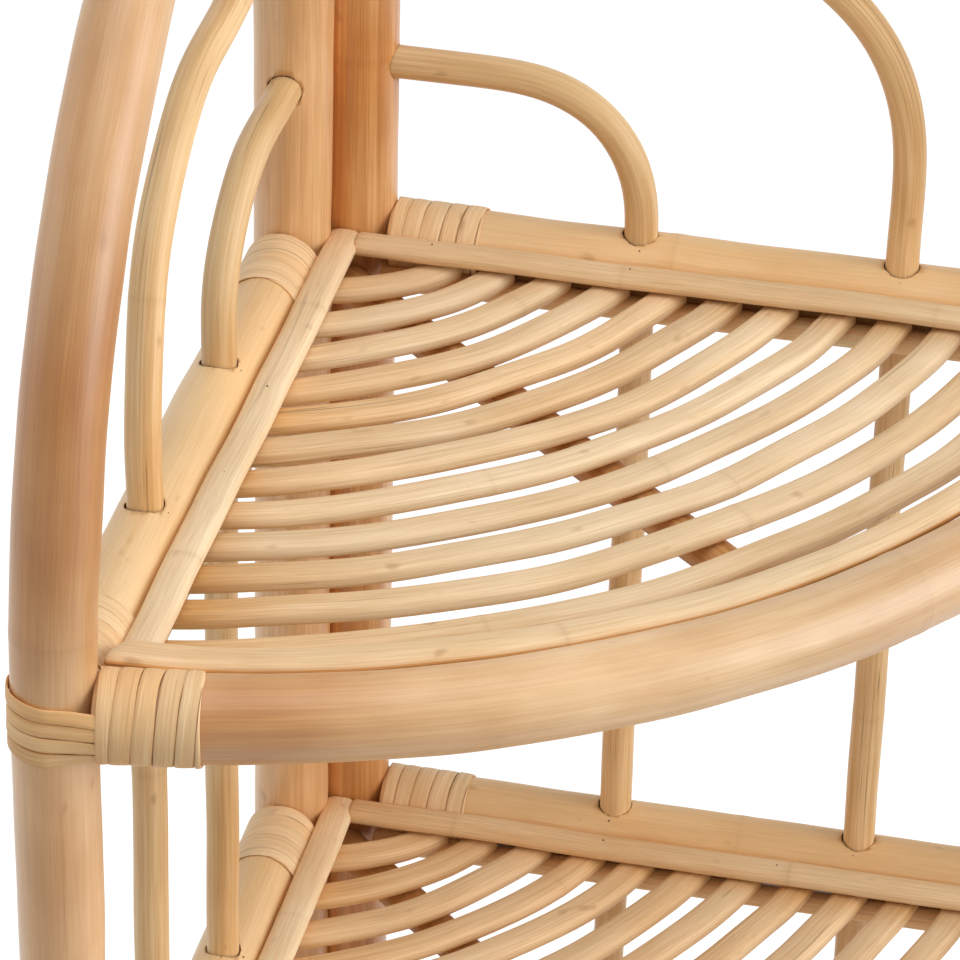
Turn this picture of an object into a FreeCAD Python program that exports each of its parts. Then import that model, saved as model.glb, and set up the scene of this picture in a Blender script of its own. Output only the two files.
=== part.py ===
# Corner shelf in peeled rattan: two side frames at a right angle, joined by curved slatted shelves.
#
# The frame: +Z is up and the feet stand on Z = 0. The two side frames lie in vertical planes that cross in
# the corner. The left frame runs from the corner towards -Y, the right frame towards +X. The origin lies in
# the middle of the footprint, so the corner is at (-reach / 2, +reach / 2). Places on a side are given as a
# distance along it from the corner and a distance in from its plane.
import FreeCAD
import Part
import math
import os
import re

from FreeCAD import Placement, Rotation, Vector

TIERS = 4
SLATS = 12
BINDING_HALF_TURNS = 9
LASHING_BANDS = 4

# Driving dimensions in millimetres, with what each one measures
SIZES = {
    "post_diameter": (30.0, "back posts and arch poles"),
    "rail_diameter": (28.0, "side rails"),
    "front_rail_diameter": (30.0, "bent front rails"),
    "cane_diameter": (13.0, "hoops and spindles"),
    "bearer_diameter": (13.0, "diagonal bearers"),
    "slat_diameter": (10.0, "slats"),
    "trim_diameter": (9.5, "trim canes over the slat ends"),
    "ledger_diameter": (9.5, "ledger canes under the slat ends"),
    "side_length": (327.0, "back post axis to front pole axis"),
    "front_bow": (90.7, "rise of the front rail's arc over its chord"),
    "bottom_rail_height": (105.0, "floor to the lowest rail axis"),
    "tier_pitch": (270.0, "rail axis to rail axis"),
    "near_cane": (112.0, "back post axis to the near hoop and spindle"),
    "far_cane": (214.0, "back post axis to the far hoop and spindle"),
    "small_hoop_straight": (26.0, "top rail axis to the small hoop's bend"),
    "small_hoop_bend": (50.0, "bend radius of the small hoop"),
    "large_hoop_straight": (58.0, "top rail axis to the large hoop's bend"),
    "large_hoop_bend": (92.0, "bend radius of the large hoop"),
    "arch_straight": (16.0, "top rail axis to the arch pole's bend"),
    "arch_bend": (238.0, "bend radius of the arch pole"),
    "post_top": (20.0, "arch pole's level run to the top of the back post"),
    "top_bevel": (4.0, "bevel round the top of a back post"),
    "socket_depth": (10.0, "depth of a drilled socket"),
    "first_slat": (59.0, "corner to the first slat, along the rail"),
    "last_slat_gap": (25.0, "last slat to the front trim, along the rail"),
    "first_bow": (0.16, "rise of the first slat's arc, as a share of its half span"),
    "last_bow": (0.30, "rise of the last slat's arc, as a share of its half span"),
    "ledger_start": (34.0, "corner to the back end of a ledger"),
    "ledger_stop": (25.0, "front end of a ledger to the front pole axis"),
    "strip_width": (5.9, "width of the binding peel"),
    "strip_thickness": (1.0, "thickness of the binding peel"),
    "strip_gap": (0.6, "gap between two turns of a binding"),
    "screw_diameter": (4.0, "shank of a frame screw"),
    "screw_grip": (20.0, "length of a frame screw past its post"),
    "screw_head": (8.0, "head of a frame screw"),
    "screw_head_depth": (3.0, "depth of a frame screw's head"),
    "screw_sink": (0.8, "head of a frame screw below the crown of its post"),
    "screw_stagger": (6.0, "height of a screw above or below the rail axis"),
    "fit_gap": (0.15, "clearance between pieces that touch"),
}

doc = FreeCAD.newDocument("corner_shelf")
sheet = doc.addObject("Spreadsheet::Sheet", "Sizes")
for row, (alias, (value, meaning)) in enumerate(SIZES.items(), start=1):
    sheet.set(f"A{row}", meaning)
    sheet.set(f"B{row}", str(value))
    sheet.setAlias(f"B{row}", alias)
doc.recompute()

# Expressions shared by several pieces
POST_RADIUS = "(post_diameter / 2)"
RAIL_RADIUS = "(rail_diameter / 2)"
FRONT_RADIUS = "(front_rail_diameter / 2)"
CANE_RADIUS = "(cane_diameter / 2)"
BEARER_RADIUS = "(bearer_diameter / 2)"
SLAT_RADIUS = "(slat_diameter / 2)"
TRIM_RADIUS = "(trim_diameter / 2)"
LEDGER_RADIUS = "(ledger_diameter / 2)"
# The two back posts touch on the diagonal, each this far from the corner
POST_AT = "((post_diameter + fit_gap) / sqrt(2))"
REACH = f"({POST_AT} + side_length)"
TOP_RAIL = f"(bottom_rail_height + {TIERS - 1} * tier_pitch)"
ARCH_RISE = "(arch_straight + arch_bend)"
POST_HEIGHT = f"({TOP_RAIL} + {ARCH_RISE} + post_top)"
SOCKET_END = f"({POST_AT} + {POST_RADIUS} - socket_depth)"
# Heights over a rail's axis: trim flush with the rail, slats under it, ledger and bearer under the slats
TRIM_LEVEL = f"({RAIL_RADIUS} - {TRIM_RADIUS})"
SLAT_LEVEL = f"({RAIL_RADIUS} - trim_diameter - fit_gap - {SLAT_RADIUS})"
LEDGER_LEVEL = f"({SLAT_LEVEL} - {SLAT_RADIUS} - fit_gap - {LEDGER_RADIUS})"
BEARER_LEVEL = f"({SLAT_LEVEL} - {SLAT_RADIUS} - fit_gap - {BEARER_RADIUS})"
# The peel bindings: their length along the rail and their place beside the thicker of pole and front rail
STRIP_PITCH = "(strip_width + strip_gap)"
BINDING_LENGTH = f"({BINDING_HALF_TURNS} / 2 * {STRIP_PITCH} + strip_width)"
THICKER_RADIUS = f"(({POST_RADIUS} + {FRONT_RADIUS} + abs({POST_RADIUS} - {FRONT_RADIUS})) / 2)"
BINDING_OFF_POST = f"({THICKER_RADIUS} + strip_thickness + 6 * fit_gap)"
BINDING_OUTER = f"({RAIL_RADIUS} + fit_gap + strip_thickness)"
BINDING_ROOM = f"({BINDING_LENGTH} + 6 * fit_gap)"
BACK_ROOM_START = f"({POST_AT} + {BINDING_OFF_POST} - 3 * fit_gap)"
FRONT_ROOM_START = f"({REACH} - {BINDING_OFF_POST} - {BINDING_LENGTH} - 3 * fit_gap)"
# Distances in from the plane of a side frame
TRIM_IN = f"({POST_RADIUS} + {TRIM_RADIUS} + fit_gap)"
LEDGER_IN = f"sqrt(({RAIL_RADIUS} + {LEDGER_RADIUS} + fit_gap)^2 - {LEDGER_LEVEL}^2)"
SLAT_END_IN = f"({BINDING_OUTER} + 2 * fit_gap)"
# The front rail's arc passes through both front poles' axes and bows out over their chord
FRONT_HALF_SPAN = f"({REACH} / sqrt(2))"
FRONT_REACH = f"({FRONT_HALF_SPAN} + front_bow)"
FRONT_BEND = f"(({FRONT_HALF_SPAN}^2 + front_bow^2) / (2 * front_bow))"
FRONT_CENTRE = f"(({FRONT_REACH} - {FRONT_BEND}) / sqrt(2))"
# A straight binding on the bent front rail follows the chord, so it is wider by the arc's rise over its length
CHORD_RISE = f"({BINDING_LENGTH}^2 / (8 * {FRONT_BEND}))"
# The front trim lies on the inner shoulder of the front rail, clear of the bindings
FRONT_TRIM_APART = f"({FRONT_RADIUS} + 2 * {CHORD_RISE} + strip_thickness + 3 * fit_gap + {TRIM_RADIUS})"
FRONT_TRIM_BEND = f"({FRONT_BEND} - sqrt({FRONT_TRIM_APART}^2 - {TRIM_LEVEL}^2))"
FRONT_TRIM_AT_SIDE = f"({FRONT_CENTRE} + sqrt({FRONT_TRIM_BEND}^2 - ({TRIM_IN} - {FRONT_CENTRE})^2))"
# The left trim runs through to the right back post, and the right trim butts against it
TRIM_START = {"left": f"({POST_RADIUS} + fit_gap)", "right": TRIM_IN}
SLAT_PITCH = f"(({FRONT_TRIM_AT_SIDE} - last_slat_gap - first_slat) / {SLATS - 1})"
SCREW_LENGTH = "(post_diameter - screw_sink + screw_grip)"

UP = Vector(0, 0, 1)
UPRIGHT = Rotation()
DIAGONAL = Vector(1, -1, 0).normalize()
POST_TO_POST = Vector(1, 1, 0).normalize()
SIDES = {
    "left": {"out": Vector(0, -1, 0), "inward": Vector(1, 0, 0)},
    "right": {"out": Vector(1, 0, 0), "inward": Vector(0, -1, 0)},
}
CANE_PLACES = ("near_cane", "far_cane")
HOOPS = {
    "small_hoop": ("near_cane", "small_hoop_straight", "small_hoop_bend"),
    "large_hoop": ("far_cane", "large_hoop_straight", "large_hoop_bend"),
}

nodes = []


def sized(text):
    """An expression in which each size's name points at its cell."""
    return re.sub(r"[a-z][a-z_]*", lambda m: "Sizes." + m.group() if m.group() in SIZES else m.group(), text)


def number(text):
    """The value of an expression, for the pieces that are shaped in code."""
    return float(sheet.evalExpression(sized(text)))


def tier_level(tier):
    return f"(bottom_rail_height + {tier} * tier_pitch)"


def spot(side, along, inward="0", level="0"):
    """Place on a side: distance along it from the corner, distance in from its plane, and height."""
    p, q = (inward, along) if side == "left" else (along, inward)
    return f"-{REACH} / 2 + ({p})", f"{REACH} / 2 - ({q})", level


def shifted(place, direction, by):
    """A place moved by an expression along a direction."""
    return tuple(f"{text} + ({by}) * {part:.12f}" for text, part in zip(place, direction))


def turned(z_to):
    """Rotation that turns the Z axis to a direction."""
    return Rotation(UP, z_to)


def bend_turn(side):
    """Rotation of a bend in a side frame's plane: it starts outwards and ends upwards."""
    out = SIDES[side]["out"]
    return Rotation(out, UP, out.cross(UP), "XYZ")


# Objects bound to the sheet
def bind(thing, place, rotation, **bound):
    """Sets an object's rotation, and ties its place and sizes to the sheet."""
    thing.Placement.Rotation = rotation
    for axis, text in zip("xyz", place):
        thing.setExpression(f"Placement.Base.{axis}", sized(text))
    for prop, text in bound.items():
        thing.setExpression(prop, sized(text))
    return thing


def rod(name, place, direction, radius, length):
    cylinder = doc.addObject("Part::Cylinder", name)
    return bind(cylinder, place, turned(direction), Radius=radius, Height=length)


def cone(name, place, start_radius, end_radius, height):
    taper = doc.addObject("Part::Cone", name)
    return bind(taper, place, UPRIGHT, Radius1=start_radius, Radius2=end_radius, Height=height)


def ring(name, place, rotation, bend, radius, sweep=360):
    torus = doc.addObject("Part::Torus", name)
    torus.Angle3 = sweep
    return bind(torus, place, rotation, Radius1=bend, Radius2=radius)


def fuse(name, pieces):
    fused = doc.addObject("Part::MultiFuse", name)
    fused.Shapes = pieces
    fused.Refine = True
    return fused


def gathered(name, pieces):
    """Separate shapes as one object."""
    group = doc.addObject("Part::Compound", name)
    group.Links = pieces
    return group


def cut(name, base, *tool_groups):
    """The base less each group of tools in turn; the tools within a group are clear of each other."""
    for i, tools in enumerate(tool_groups, start=1):
        result = doc.addObject("Part::Cut", f"{name}_cut_{i}")
        result.Base = base
        result.Tool = gathered(f"{name}_tools_{i}", tools)
        base = result
    return base


def common(name, base, tool):
    result = doc.addObject("Part::Common", name)
    result.Base = base
    result.Tool = tool
    return result


def copied(name, pattern, place, rotation=UPRIGHT):
    """A copy of an object at a place bound to the sheet."""
    return bind(gathered(name, [pattern]), place, rotation)


def node(thing, label):
    """Marks an object as a sub-part with its own file."""
    thing.Label = label
    nodes.append(thing)


def repeated(pattern, kind, first=0):
    """Sub-parts of one kind: one tier's own, and a copy of it on each tier above."""
    node(pattern, f"tier{first + 1}_{kind}")
    for tier in range(first + 1, TIERS):
        name = f"tier{tier + 1}_{kind}"
        node(copied(name, pattern, ("0", "0", f"{tier - first} * tier_pitch")), name)


def shaped(label, solids):
    """A sub-part of separate solids that are shaped in code."""
    feature = doc.addObject("Part::Feature", label)
    feature.Shape = Part.makeCompound(solids)
    node(feature, label)


# Frame screws, each driven through a post into the piece behind it
ORIGIN = ("0", "0", "0")
SHANK_RADIUS = "screw_diameter / 2"
HEAD_RADIUS = "screw_head / 2"
WAY_IN = "(2 * screw_sink)"

screw_pattern = fuse("screw_pattern", [
    rod("screw_shank", ORIGIN, UP, SHANK_RADIUS, f"{SCREW_LENGTH} - fit_gap"),
    cone("screw_taper", ORIGIN, HEAD_RADIUS, SHANK_RADIUS, "screw_head_depth"),
])
hole_pattern = fuse("screw_hole_pattern", [
    rod("hole_shank", ORIGIN, UP, f"{SHANK_RADIUS} + fit_gap", SCREW_LENGTH),
    cone("hole_taper", ORIGIN, f"{HEAD_RADIUS} + fit_gap", f"{SHANK_RADIUS} + fit_gap", "screw_head_depth"),
    rod("hole_way_in", ("0", "0", f"-{WAY_IN}"), UP, f"{HEAD_RADIUS} + fit_gap", WAY_IN),
])
screws = []


def add_screw(name, post_place, direction, *through):
    """Keeps a screw that enters a post opposite to its direction, and the pieces that it needs a hole in."""
    head = shifted(post_place, direction * -1, f"{POST_RADIUS} - screw_sink")
    screws.append({"name": name, "head": head, "direction": direction, "through": through})


def holes_for(piece):
    """The screw clearances that a piece needs."""
    return [copied(f"{piece}_{screw['name']}_hole", hole_pattern, screw["head"], turned(screw["direction"]))
            for screw in screws if piece in screw["through"]]


for tier in range(TIERS):
    front_rail_name = f"tier{tier + 1}_front_rail"
    high = f"{tier_level(tier)} + screw_stagger"
    low = f"{tier_level(tier)} - screw_stagger"
    for side, way in SIDES.items():
        rail_name = f"tier{tier + 1}_{side}_rail"
        post, pole = f"{side}_back_post", f"{side}_arch_pole"
        out, inward = way["out"], way["inward"]
        add_screw(f"{rail_name}_back_screw", spot(side, POST_AT, level=high), out, post, rail_name)
        add_screw(f"{rail_name}_front_screw", spot(side, REACH, level=high), out * -1, pole, rail_name)
        add_screw(f"{front_rail_name}_{side}_screw", spot(side, REACH, level=low), inward,
                  pole, front_rail_name)
for side, way in SIDES.items():
    arch_level = f"{TOP_RAIL} + {ARCH_RISE}"
    add_screw(f"{side}_arch_screw", spot(side, POST_AT, level=arch_level), way["out"],
              f"{side}_back_post", f"{side}_arch_pole")
for bay in range(TIERS - 1):
    middle = f"{tier_level(bay)} + tier_pitch / 2"
    add_screw(f"corner_screw_{bay + 1}", spot("left", POST_AT, level=middle), POST_TO_POST,
              "left_back_post", "right_back_post")

node(gathered("frame_screws", [copied(screw["name"], screw_pattern, screw["head"], turned(screw["direction"]))
                               for screw in screws]), "frame_screws")


# Side frames: back posts, arch poles, hoops and spindles
def post_clearance(name, side, along, start="0", length=POST_HEIGHT):
    """The room that a post takes, with the fit's clearance, to cope a piece that meets it."""
    return rod(name, spot(side, along, level=start), UP, f"{POST_RADIUS} + fit_gap", length)


def back_post(side):
    """A straight post with a bevelled top and sockets for the hoops' level ends."""
    name = f"{side}_back_post"
    trunk = rod(f"{name}_trunk", spot(side, POST_AT), UP, POST_RADIUS, f"{POST_HEIGHT} - top_bevel")
    crown = cone(f"{name}_crown", spot(side, POST_AT, level=f"{POST_HEIGHT} - top_bevel"),
                 POST_RADIUS, f"{POST_RADIUS} - top_bevel", "top_bevel")
    sockets = []
    for kind, (_, straight, bend) in HOOPS.items():
        place = spot(side, SOCKET_END, level=f"{TOP_RAIL} + {straight} + {bend}")
        sockets.append(rod(f"{name}_{kind}_socket", place, SIDES[side]["out"], f"{CANE_RADIUS} + fit_gap",
                           "2 * socket_depth"))
    return cut(name, fuse(f"{name}_blank", [trunk, crown]), sockets + holes_for(name))


def bent_cane(name, side, along, straight, bend, radius, foot, inner_end):
    """A cane that stands up at a place along a side, bends over and runs level back to the post."""
    bend_level = f"{TOP_RAIL} + {straight}"
    bend_start = f"{along} - {bend}"
    upright = rod(f"{name}_upright", spot(side, along, level=foot), UP, radius, f"{bend_level} - ({foot})")
    turn = ring(f"{name}_turn", spot(side, bend_start, level=bend_level), bend_turn(side), bend, radius, 90)
    run = rod(f"{name}_run", spot(side, inner_end, level=f"{bend_level} + {bend}"), SIDES[side]["out"], radius,
              f"{bend_start} - ({inner_end})")
    return fuse(f"{name}_blank", [upright, turn, run])


def arch_pole(side):
    """A front pole that bends over at the top and is coped to its back post."""
    name = f"{side}_arch_pole"
    blank = bent_cane(name, side, REACH, "arch_straight", "arch_bend", POST_RADIUS, "0", POST_AT)
    coping = post_clearance(f"{name}_coping", side, POST_AT, length=f"{POST_HEIGHT} + post_top")
    return cut(name, blank, [coping], holes_for(name))


SOCKET_FOOT = f"{RAIL_RADIUS} - socket_depth + fit_gap"
for side, way in SIDES.items():
    node(back_post(side), f"{side}_back_post")
    node(arch_pole(side), f"{side}_arch_pole")
    for kind, (along, straight, bend) in HOOPS.items():
        hoop = bent_cane(f"{side}_{kind}", side, f"({POST_AT} + {along})", straight, bend, CANE_RADIUS,
                         f"{TOP_RAIL} + {SOCKET_FOOT}", f"{SOCKET_END} + fit_gap")
        node(hoop, f"{side}_{kind}")
    for bay in range(TIERS - 1):
        name = f"bay{bay + 1}_{side}_spindles"
        foot = f"{tier_level(bay)} + {SOCKET_FOOT}"
        spindles = [rod(f"{name}_{along}", spot(side, f"{POST_AT} + {along}", level=foot), UP, CANE_RADIUS,
                        f"tier_pitch - 2 * ({SOCKET_FOOT})") for along in CANE_PLACES]
        node(gathered(name, spindles), name)


# Shelves
def side_rail(tier, side):
    """A round rail, coped to its post and pole, with drilled sockets for the canes above and below it."""
    name = f"tier{tier + 1}_{side}_rail"
    level = tier_level(tier)
    out = SIDES[side]["out"]
    below = f"{level} - rail_diameter"
    blank = rod(f"{name}_blank", spot(side, POST_AT, level=level), out, RAIL_RADIUS, "side_length")
    tools = [post_clearance(f"{name}_{end}_coping", side, along, below, "2 * rail_diameter")
             for end, along in (("back", POST_AT), ("front", REACH))]
    starts = {"upper": f"{level} + {RAIL_RADIUS} - socket_depth"}
    if tier > 0:
        starts["lower"] = f"{level} - {RAIL_RADIUS} - socket_depth"
    for height, start in starts.items():
        for along in CANE_PLACES:
            place = spot(side, f"{POST_AT} + {along}", level=start)
            tools.append(rod(f"{name}_{height}_{along}_socket", place, UP, f"{CANE_RADIUS} + fit_gap",
                             "2 * socket_depth"))
    return cut(name, blank, tools, holes_for(name))


def inside_box(name, inward, level):
    """The space in from both side frames, tall enough for one shelf."""
    x, y, _ = spot("left", inward, inward)
    box = doc.addObject("Part::Box", name)
    return bind(box, (x, f"{y} - 2 * {REACH}", f"{level} - rail_diameter"), UPRIGHT,
                Length=f"2 * {REACH}", Width=f"2 * {REACH}", Height="2 * rail_diameter")


def front_ring(name, bend, radius, level):
    """A full ring about the front rail's centre, on the lowest tier."""
    place = spot("left", FRONT_CENTRE, FRONT_CENTRE, f"{tier_level(0)} + {level}")
    return ring(name, place, UPRIGHT, bend, radius)


def front_rail():
    """A bent rail between the front poles, coped to the poles and to the side rails."""
    name = "tier1_front_rail"
    level = tier_level(0)
    # It starts halfway out of the pole, so that the coping leaves no feather edge
    blank = common(f"{name}_blank", front_ring(f"{name}_ring", FRONT_BEND, FRONT_RADIUS, "0"),
                   inside_box(f"{name}_box", f"{POST_RADIUS} / 2", level))
    copings = [post_clearance(f"{name}_{side}_coping", side, REACH, f"{level} - front_rail_diameter",
                              "2 * front_rail_diameter") for side in SIDES]
    rail_rooms = [rod(f"{name}_{side}_rail_room", spot(side, POST_AT, level=level), way["out"],
                      f"{RAIL_RADIUS} + fit_gap", "side_length") for side, way in SIDES.items()]
    return cut(name, blank, copings, rail_rooms, holes_for(name))


def ledger(side):
    """A cane along the inner side of a rail, under the slat ends, flattened where the rail's bindings are."""
    name = f"tier1_{side}_ledger"
    level = tier_level(0)
    out = SIDES[side]["out"]
    place = spot(side, "ledger_start", LEDGER_IN, f"{level} + {LEDGER_LEVEL}")
    blank = rod(f"{name}_blank", place, out, LEDGER_RADIUS, f"{REACH} - ledger_stop - ledger_start")
    rooms = [rod(f"{name}_{end}_room", spot(side, along, level=level), out, f"{BINDING_OUTER} + fit_gap",
                 BINDING_ROOM) for end, along in (("back", BACK_ROOM_START), ("front", FRONT_ROOM_START))]
    return cut(name, blank, rooms)


def side_trim(side):
    """A cane over the slat ends beside a rail, coped to the front trim, and on the right to the left trim."""
    name = f"tier1_{side}_trim"
    level = f"{tier_level(0)} + {TRIM_LEVEL}"
    start = TRIM_START[side]
    blank = rod(f"{name}_blank", spot(side, start, TRIM_IN, level), SIDES[side]["out"], TRIM_RADIUS,
                f"{FRONT_TRIM_AT_SIDE} - {start}")
    tools = [front_ring(f"{name}_front_room", FRONT_TRIM_BEND, f"{TRIM_RADIUS} + fit_gap", TRIM_LEVEL)]
    if side == "right":
        tools.append(rod(f"{name}_left_room", spot("left", "0", TRIM_IN, level), SIDES["left"]["out"],
                         f"{TRIM_RADIUS} + fit_gap", f"2 * {TRIM_IN}"))
    return cut(name, blank, tools)


def front_trim():
    """A cane on the inner shoulder of the front rail, from one side frame to the other."""
    blank = front_ring("tier1_front_trim_ring", FRONT_TRIM_BEND, TRIM_RADIUS, TRIM_LEVEL)
    box = inside_box("tier1_front_trim_box", f"{BINDING_OUTER} + {TRIM_RADIUS} / 2", tier_level(0))
    return common("tier1_front_trim_cane", blank, box)


def slats():
    """Bent canes from one side rail to the other, bowed to the front."""
    level = tier_level(0)
    canes = []
    for i in range(SLATS):
        name = f"slat_{i + 1}"
        at_rail = f"(first_slat + {i} * {SLAT_PITCH})"
        half_span = f"(({at_rail} - {TRIM_IN}) / sqrt(2))"
        bow = f"({half_span} * (first_bow + (last_bow - first_bow) * {i} / {SLATS - 1}))"
        bend = f"(({half_span}^2 + {bow}^2) / (2 * {bow}))"
        centre = f"((({at_rail} + {TRIM_IN}) / sqrt(2) + {bow} - {bend}) / sqrt(2))"
        place = spot("left", centre, centre, f"{level} + {SLAT_LEVEL}")
        whole = ring(f"{name}_ring", place, UPRIGHT, bend, SLAT_RADIUS)
        canes.append(common(name, whole, inside_box(f"{name}_box", SLAT_END_IN, level)))
    return gathered("tier1_slat_canes", canes)


def cross_bearer():
    """A straight cane under the middle of the slats, from between the back posts to the front rail."""
    name = "tier1_cross_bearer"
    level = tier_level(0)
    # It starts where the notch between the posts is half as wide as the cane
    start = f"({POST_RADIUS} + sqrt({POST_RADIUS}^2 - ({POST_RADIUS} - {BEARER_RADIUS} / 2)^2))"
    from_side = f"({start} / sqrt(2))"
    blank = rod(f"{name}_blank", spot("left", from_side, from_side, f"{level} + {BEARER_LEVEL}"), DIAGONAL,
                BEARER_RADIUS, f"{FRONT_REACH} - {start}")
    tools = [post_clearance(f"{name}_{side}_coping", side, POST_AT, length=TOP_RAIL) for side in SIDES]
    tools.append(front_ring(f"{name}_front_room", FRONT_BEND, f"{FRONT_RADIUS} + fit_gap", "0"))
    return cut(name, blank, tools)


for side in SIDES:
    # The lowest rail has no canes under it, so the tier above it has a rail of its own
    node(side_rail(0, side), f"tier1_{side}_rail")
    repeated(side_rail(1, side), f"{side}_rail", first=1)
    repeated(ledger(side), f"{side}_ledger")
    repeated(side_trim(side), f"{side}_trim")
repeated(front_rail(), "front_rail")
repeated(front_trim(), "front_trim")
repeated(slats(), "slats")
repeated(cross_bearer(), "cross_bearer")

# Peel bindings, shaped in code: each is one flat strip, wound without a break
fit = number("fit_gap")
strip_width = number("strip_width")
strip_thickness = number("strip_thickness")
strip_pitch = number(STRIP_PITCH)
post_radius = number(POST_RADIUS)
post_at = number(POST_AT)
reach = number(REACH)
off_post = number(BINDING_OFF_POST)
binding_length = number(BINDING_LENGTH)
front_bend = number(FRONT_BEND)
chord_rise = number(CHORD_RISE)
corner = Vector(-reach / 2, reach / 2, 0)
front_centre = corner + DIAGONAL * (number(FRONT_REACH) - front_bend)


def half_turn_levels(k):
    """Heights of a half turn's start and end."""
    step = strip_pitch / 2
    return k * step, (k + 1) * step


def wound_strip(pole_radius):
    """A strip wound round a pole that stands on the origin; each half turn climbs evenly across the pole."""
    inner = pole_radius + fit
    outer = inner + strip_thickness
    beyond = 2 * outer
    tube = Part.makeCylinder(outer, 2 * binding_length).cut(Part.makeCylinder(inner, 2 * binding_length))
    turns = []
    for k in range(BINDING_HALF_TURNS):
        in_front = k % 2 == 0
        low, high = half_turn_levels(k) if in_front else reversed(half_turn_levels(k))
        line = [(-beyond, low), (-inner, low), (inner, high), (beyond, high)]
        outline = [Vector(0, y, z) for y, z in line]
        outline += [Vector(0, y, z + strip_width) for y, z in reversed(line)]
        face = Part.Face(Part.makePolygon(outline + outline[:1]))
        slab = face.extrude(Vector(beyond if in_front else -beyond, 0, 0))
        turns.append(tube.common(slab).Solids[0])
    return turns[0].multiFuse(turns[1:]).removeSplitter().Solids[0]


def least_gap(pole_radius):
    """The least distance between one turn of a binding and the next, on points of its outer edges."""
    inner = pole_radius + fit
    outer = inner + strip_thickness
    lower_edges = []
    for k in range(BINDING_HALF_TURNS):
        start, end = half_turn_levels(k)
        way = 1 if k % 2 == 0 else -1
        edge = []
        for degrees in range(-90, 91, 10):
            across = math.sin(math.radians(degrees))
            share = min(max((across * outer / inner + 1) / 2, 0), 1)
            x, y = way * outer * math.cos(math.radians(degrees)), way * outer * across
            edge.append(Vector(x, y, start + (end - start) * share))
        lower_edges.append(edge)
    rise = Vector(0, 0, strip_width)
    return min((below + rise).distanceToPoint(above) for k in range(BINDING_HALF_TURNS - 2)
               for below in lower_edges[k] for above in lower_edges[k + 2])


def covered(radius):
    """Half the angle of a pole's round that a rail of this radius takes."""
    return math.degrees(math.asin(min(1, (radius + 2 * fit) / (post_radius + fit))))


def heading(direction):
    return math.degrees(math.atan2(direction.y, direction.x))


def front_spoke(side, along=0):
    """Direction from the front rail's centre to a point on its arc, at a length along it from a pole."""
    turn = along / front_bend * (1 if side == "left" else -1)
    spoke = corner + SIDES[side]["out"] * reach - front_centre
    return Rotation(UP, math.degrees(turn)).multVec(spoke).normalize()


def front_way(side, along=0):
    """Direction of the front rail at a length along it from a pole, leaving the pole."""
    return UP.cross(front_spoke(side, along)) * (1 if side == "left" else -1)


def lashing(side):
    """A strip laid to and fro round the outer side of a pole, its bands joined at alternate ends."""
    inner = post_radius + fit
    outer = inner + strip_thickness
    link = math.degrees(strip_width / outer)
    base = -((LASHING_BANDS - 1) * strip_pitch + strip_width) / 2
    side_edge = covered(number(RAIL_RADIUS))
    front_edge = covered(number(FRONT_RADIUS))
    rail_heading = heading(SIDES[side]["out"] * -1)
    front_heading = heading(front_way(side))
    if side == "left":
        start, end = rail_heading + side_edge, front_heading - front_edge
    else:
        start, end = front_heading + front_edge, rail_heading - side_edge
    sweep = (end - start) % 360

    def arc(low, high, first, angle):
        corners = [Vector(inner, 0, low), Vector(outer, 0, low), Vector(outer, 0, high), Vector(inner, 0, high)]
        face = Part.Face(Part.makePolygon(corners + corners[:1]))
        face.rotate(Vector(), UP, first)
        return face.revolve(Vector(), UP, angle)

    bands = [arc(base + i * strip_pitch, base + i * strip_pitch + strip_width, start, sweep)
             for i in range(LASHING_BANDS)]
    links = [arc(base + i * strip_pitch, base + (i + 1) * strip_pitch + strip_width,
                 start if i % 2 else start + sweep - link, link) for i in range(LASHING_BANDS - 1)]
    return bands[0].multiFuse(bands[1:] + links).removeSplitter().Solids[0]


def moved(shape, point, direction):
    """A copy of a shape that stood on the origin, with its Z axis along a direction from a point."""
    copy = shape.copy()
    copy.Placement = Placement(point, turned(direction))
    return copy


WOUND_RADII = {
    "side rail": number(RAIL_RADIUS),
    "front rail": number(FRONT_RADIUS) + chord_rise,
    "arch pole": post_radius,
}
strips = {name: wound_strip(radius) for name, radius in WOUND_RADII.items()}
lashings = {side: lashing(side) for side in SIDES}

for tier in range(TIERS):
    lift = UP * number(tier_level(tier))
    wound = []
    for side, way in SIDES.items():
        out = way["out"]
        pole = corner + out * reach
        wound.append(moved(strips["side rail"], corner + out * (post_at + off_post) + lift, out))
        wound.append(moved(strips["side rail"], pole - out * off_post + lift, out * -1))
        middle = off_post + binding_length / 2
        tangent = front_way(side, middle)
        centre = front_centre + front_spoke(side, middle) * (front_bend - chord_rise / 2)
        wound.append(moved(strips["front rail"], centre - tangent * (binding_length / 2) + lift, tangent))
        wound.append(moved(lashings[side], pole + lift, UP))
    shaped(f"tier{tier + 1}_bindings", wound)

arch_lift = UP * number(f"{TOP_RAIL} + {ARCH_RISE}")
arch_starts = {side: corner + way["out"] * (post_at + off_post) + arch_lift for side, way in SIDES.items()}
shaped("arch_bindings", [moved(strips["arch pole"], start, SIDES[side]["out"])
                         for side, start in arch_starts.items()])
for name, radius in WOUND_RADII.items():
    print(f"least gap of the {name} binding to itself: {least_gap(radius):.2f} mm")
print(f"least gap of a pole lashing to itself: {strip_pitch - strip_width:.2f} mm")

# Test and export
doc.recompute()
failed = [thing.Name for thing in doc.Objects if "Invalid" in thing.State or "Error" in thing.State]
bad = [thing.Label for thing in nodes if thing.Shape.isNull() or not thing.Shape.isValid()]
if failed or bad:
    raise RuntimeError(f"failed objects: {failed}; bad shapes: {bad}")
os.makedirs("parts", exist_ok=True)
for thing in nodes:
    thing.Shape.exportStep(f"parts/{thing.Label}.step")
print(len(nodes), "sub-parts,", sum(len(thing.Shape.Solids) for thing in nodes), "solids")
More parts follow.
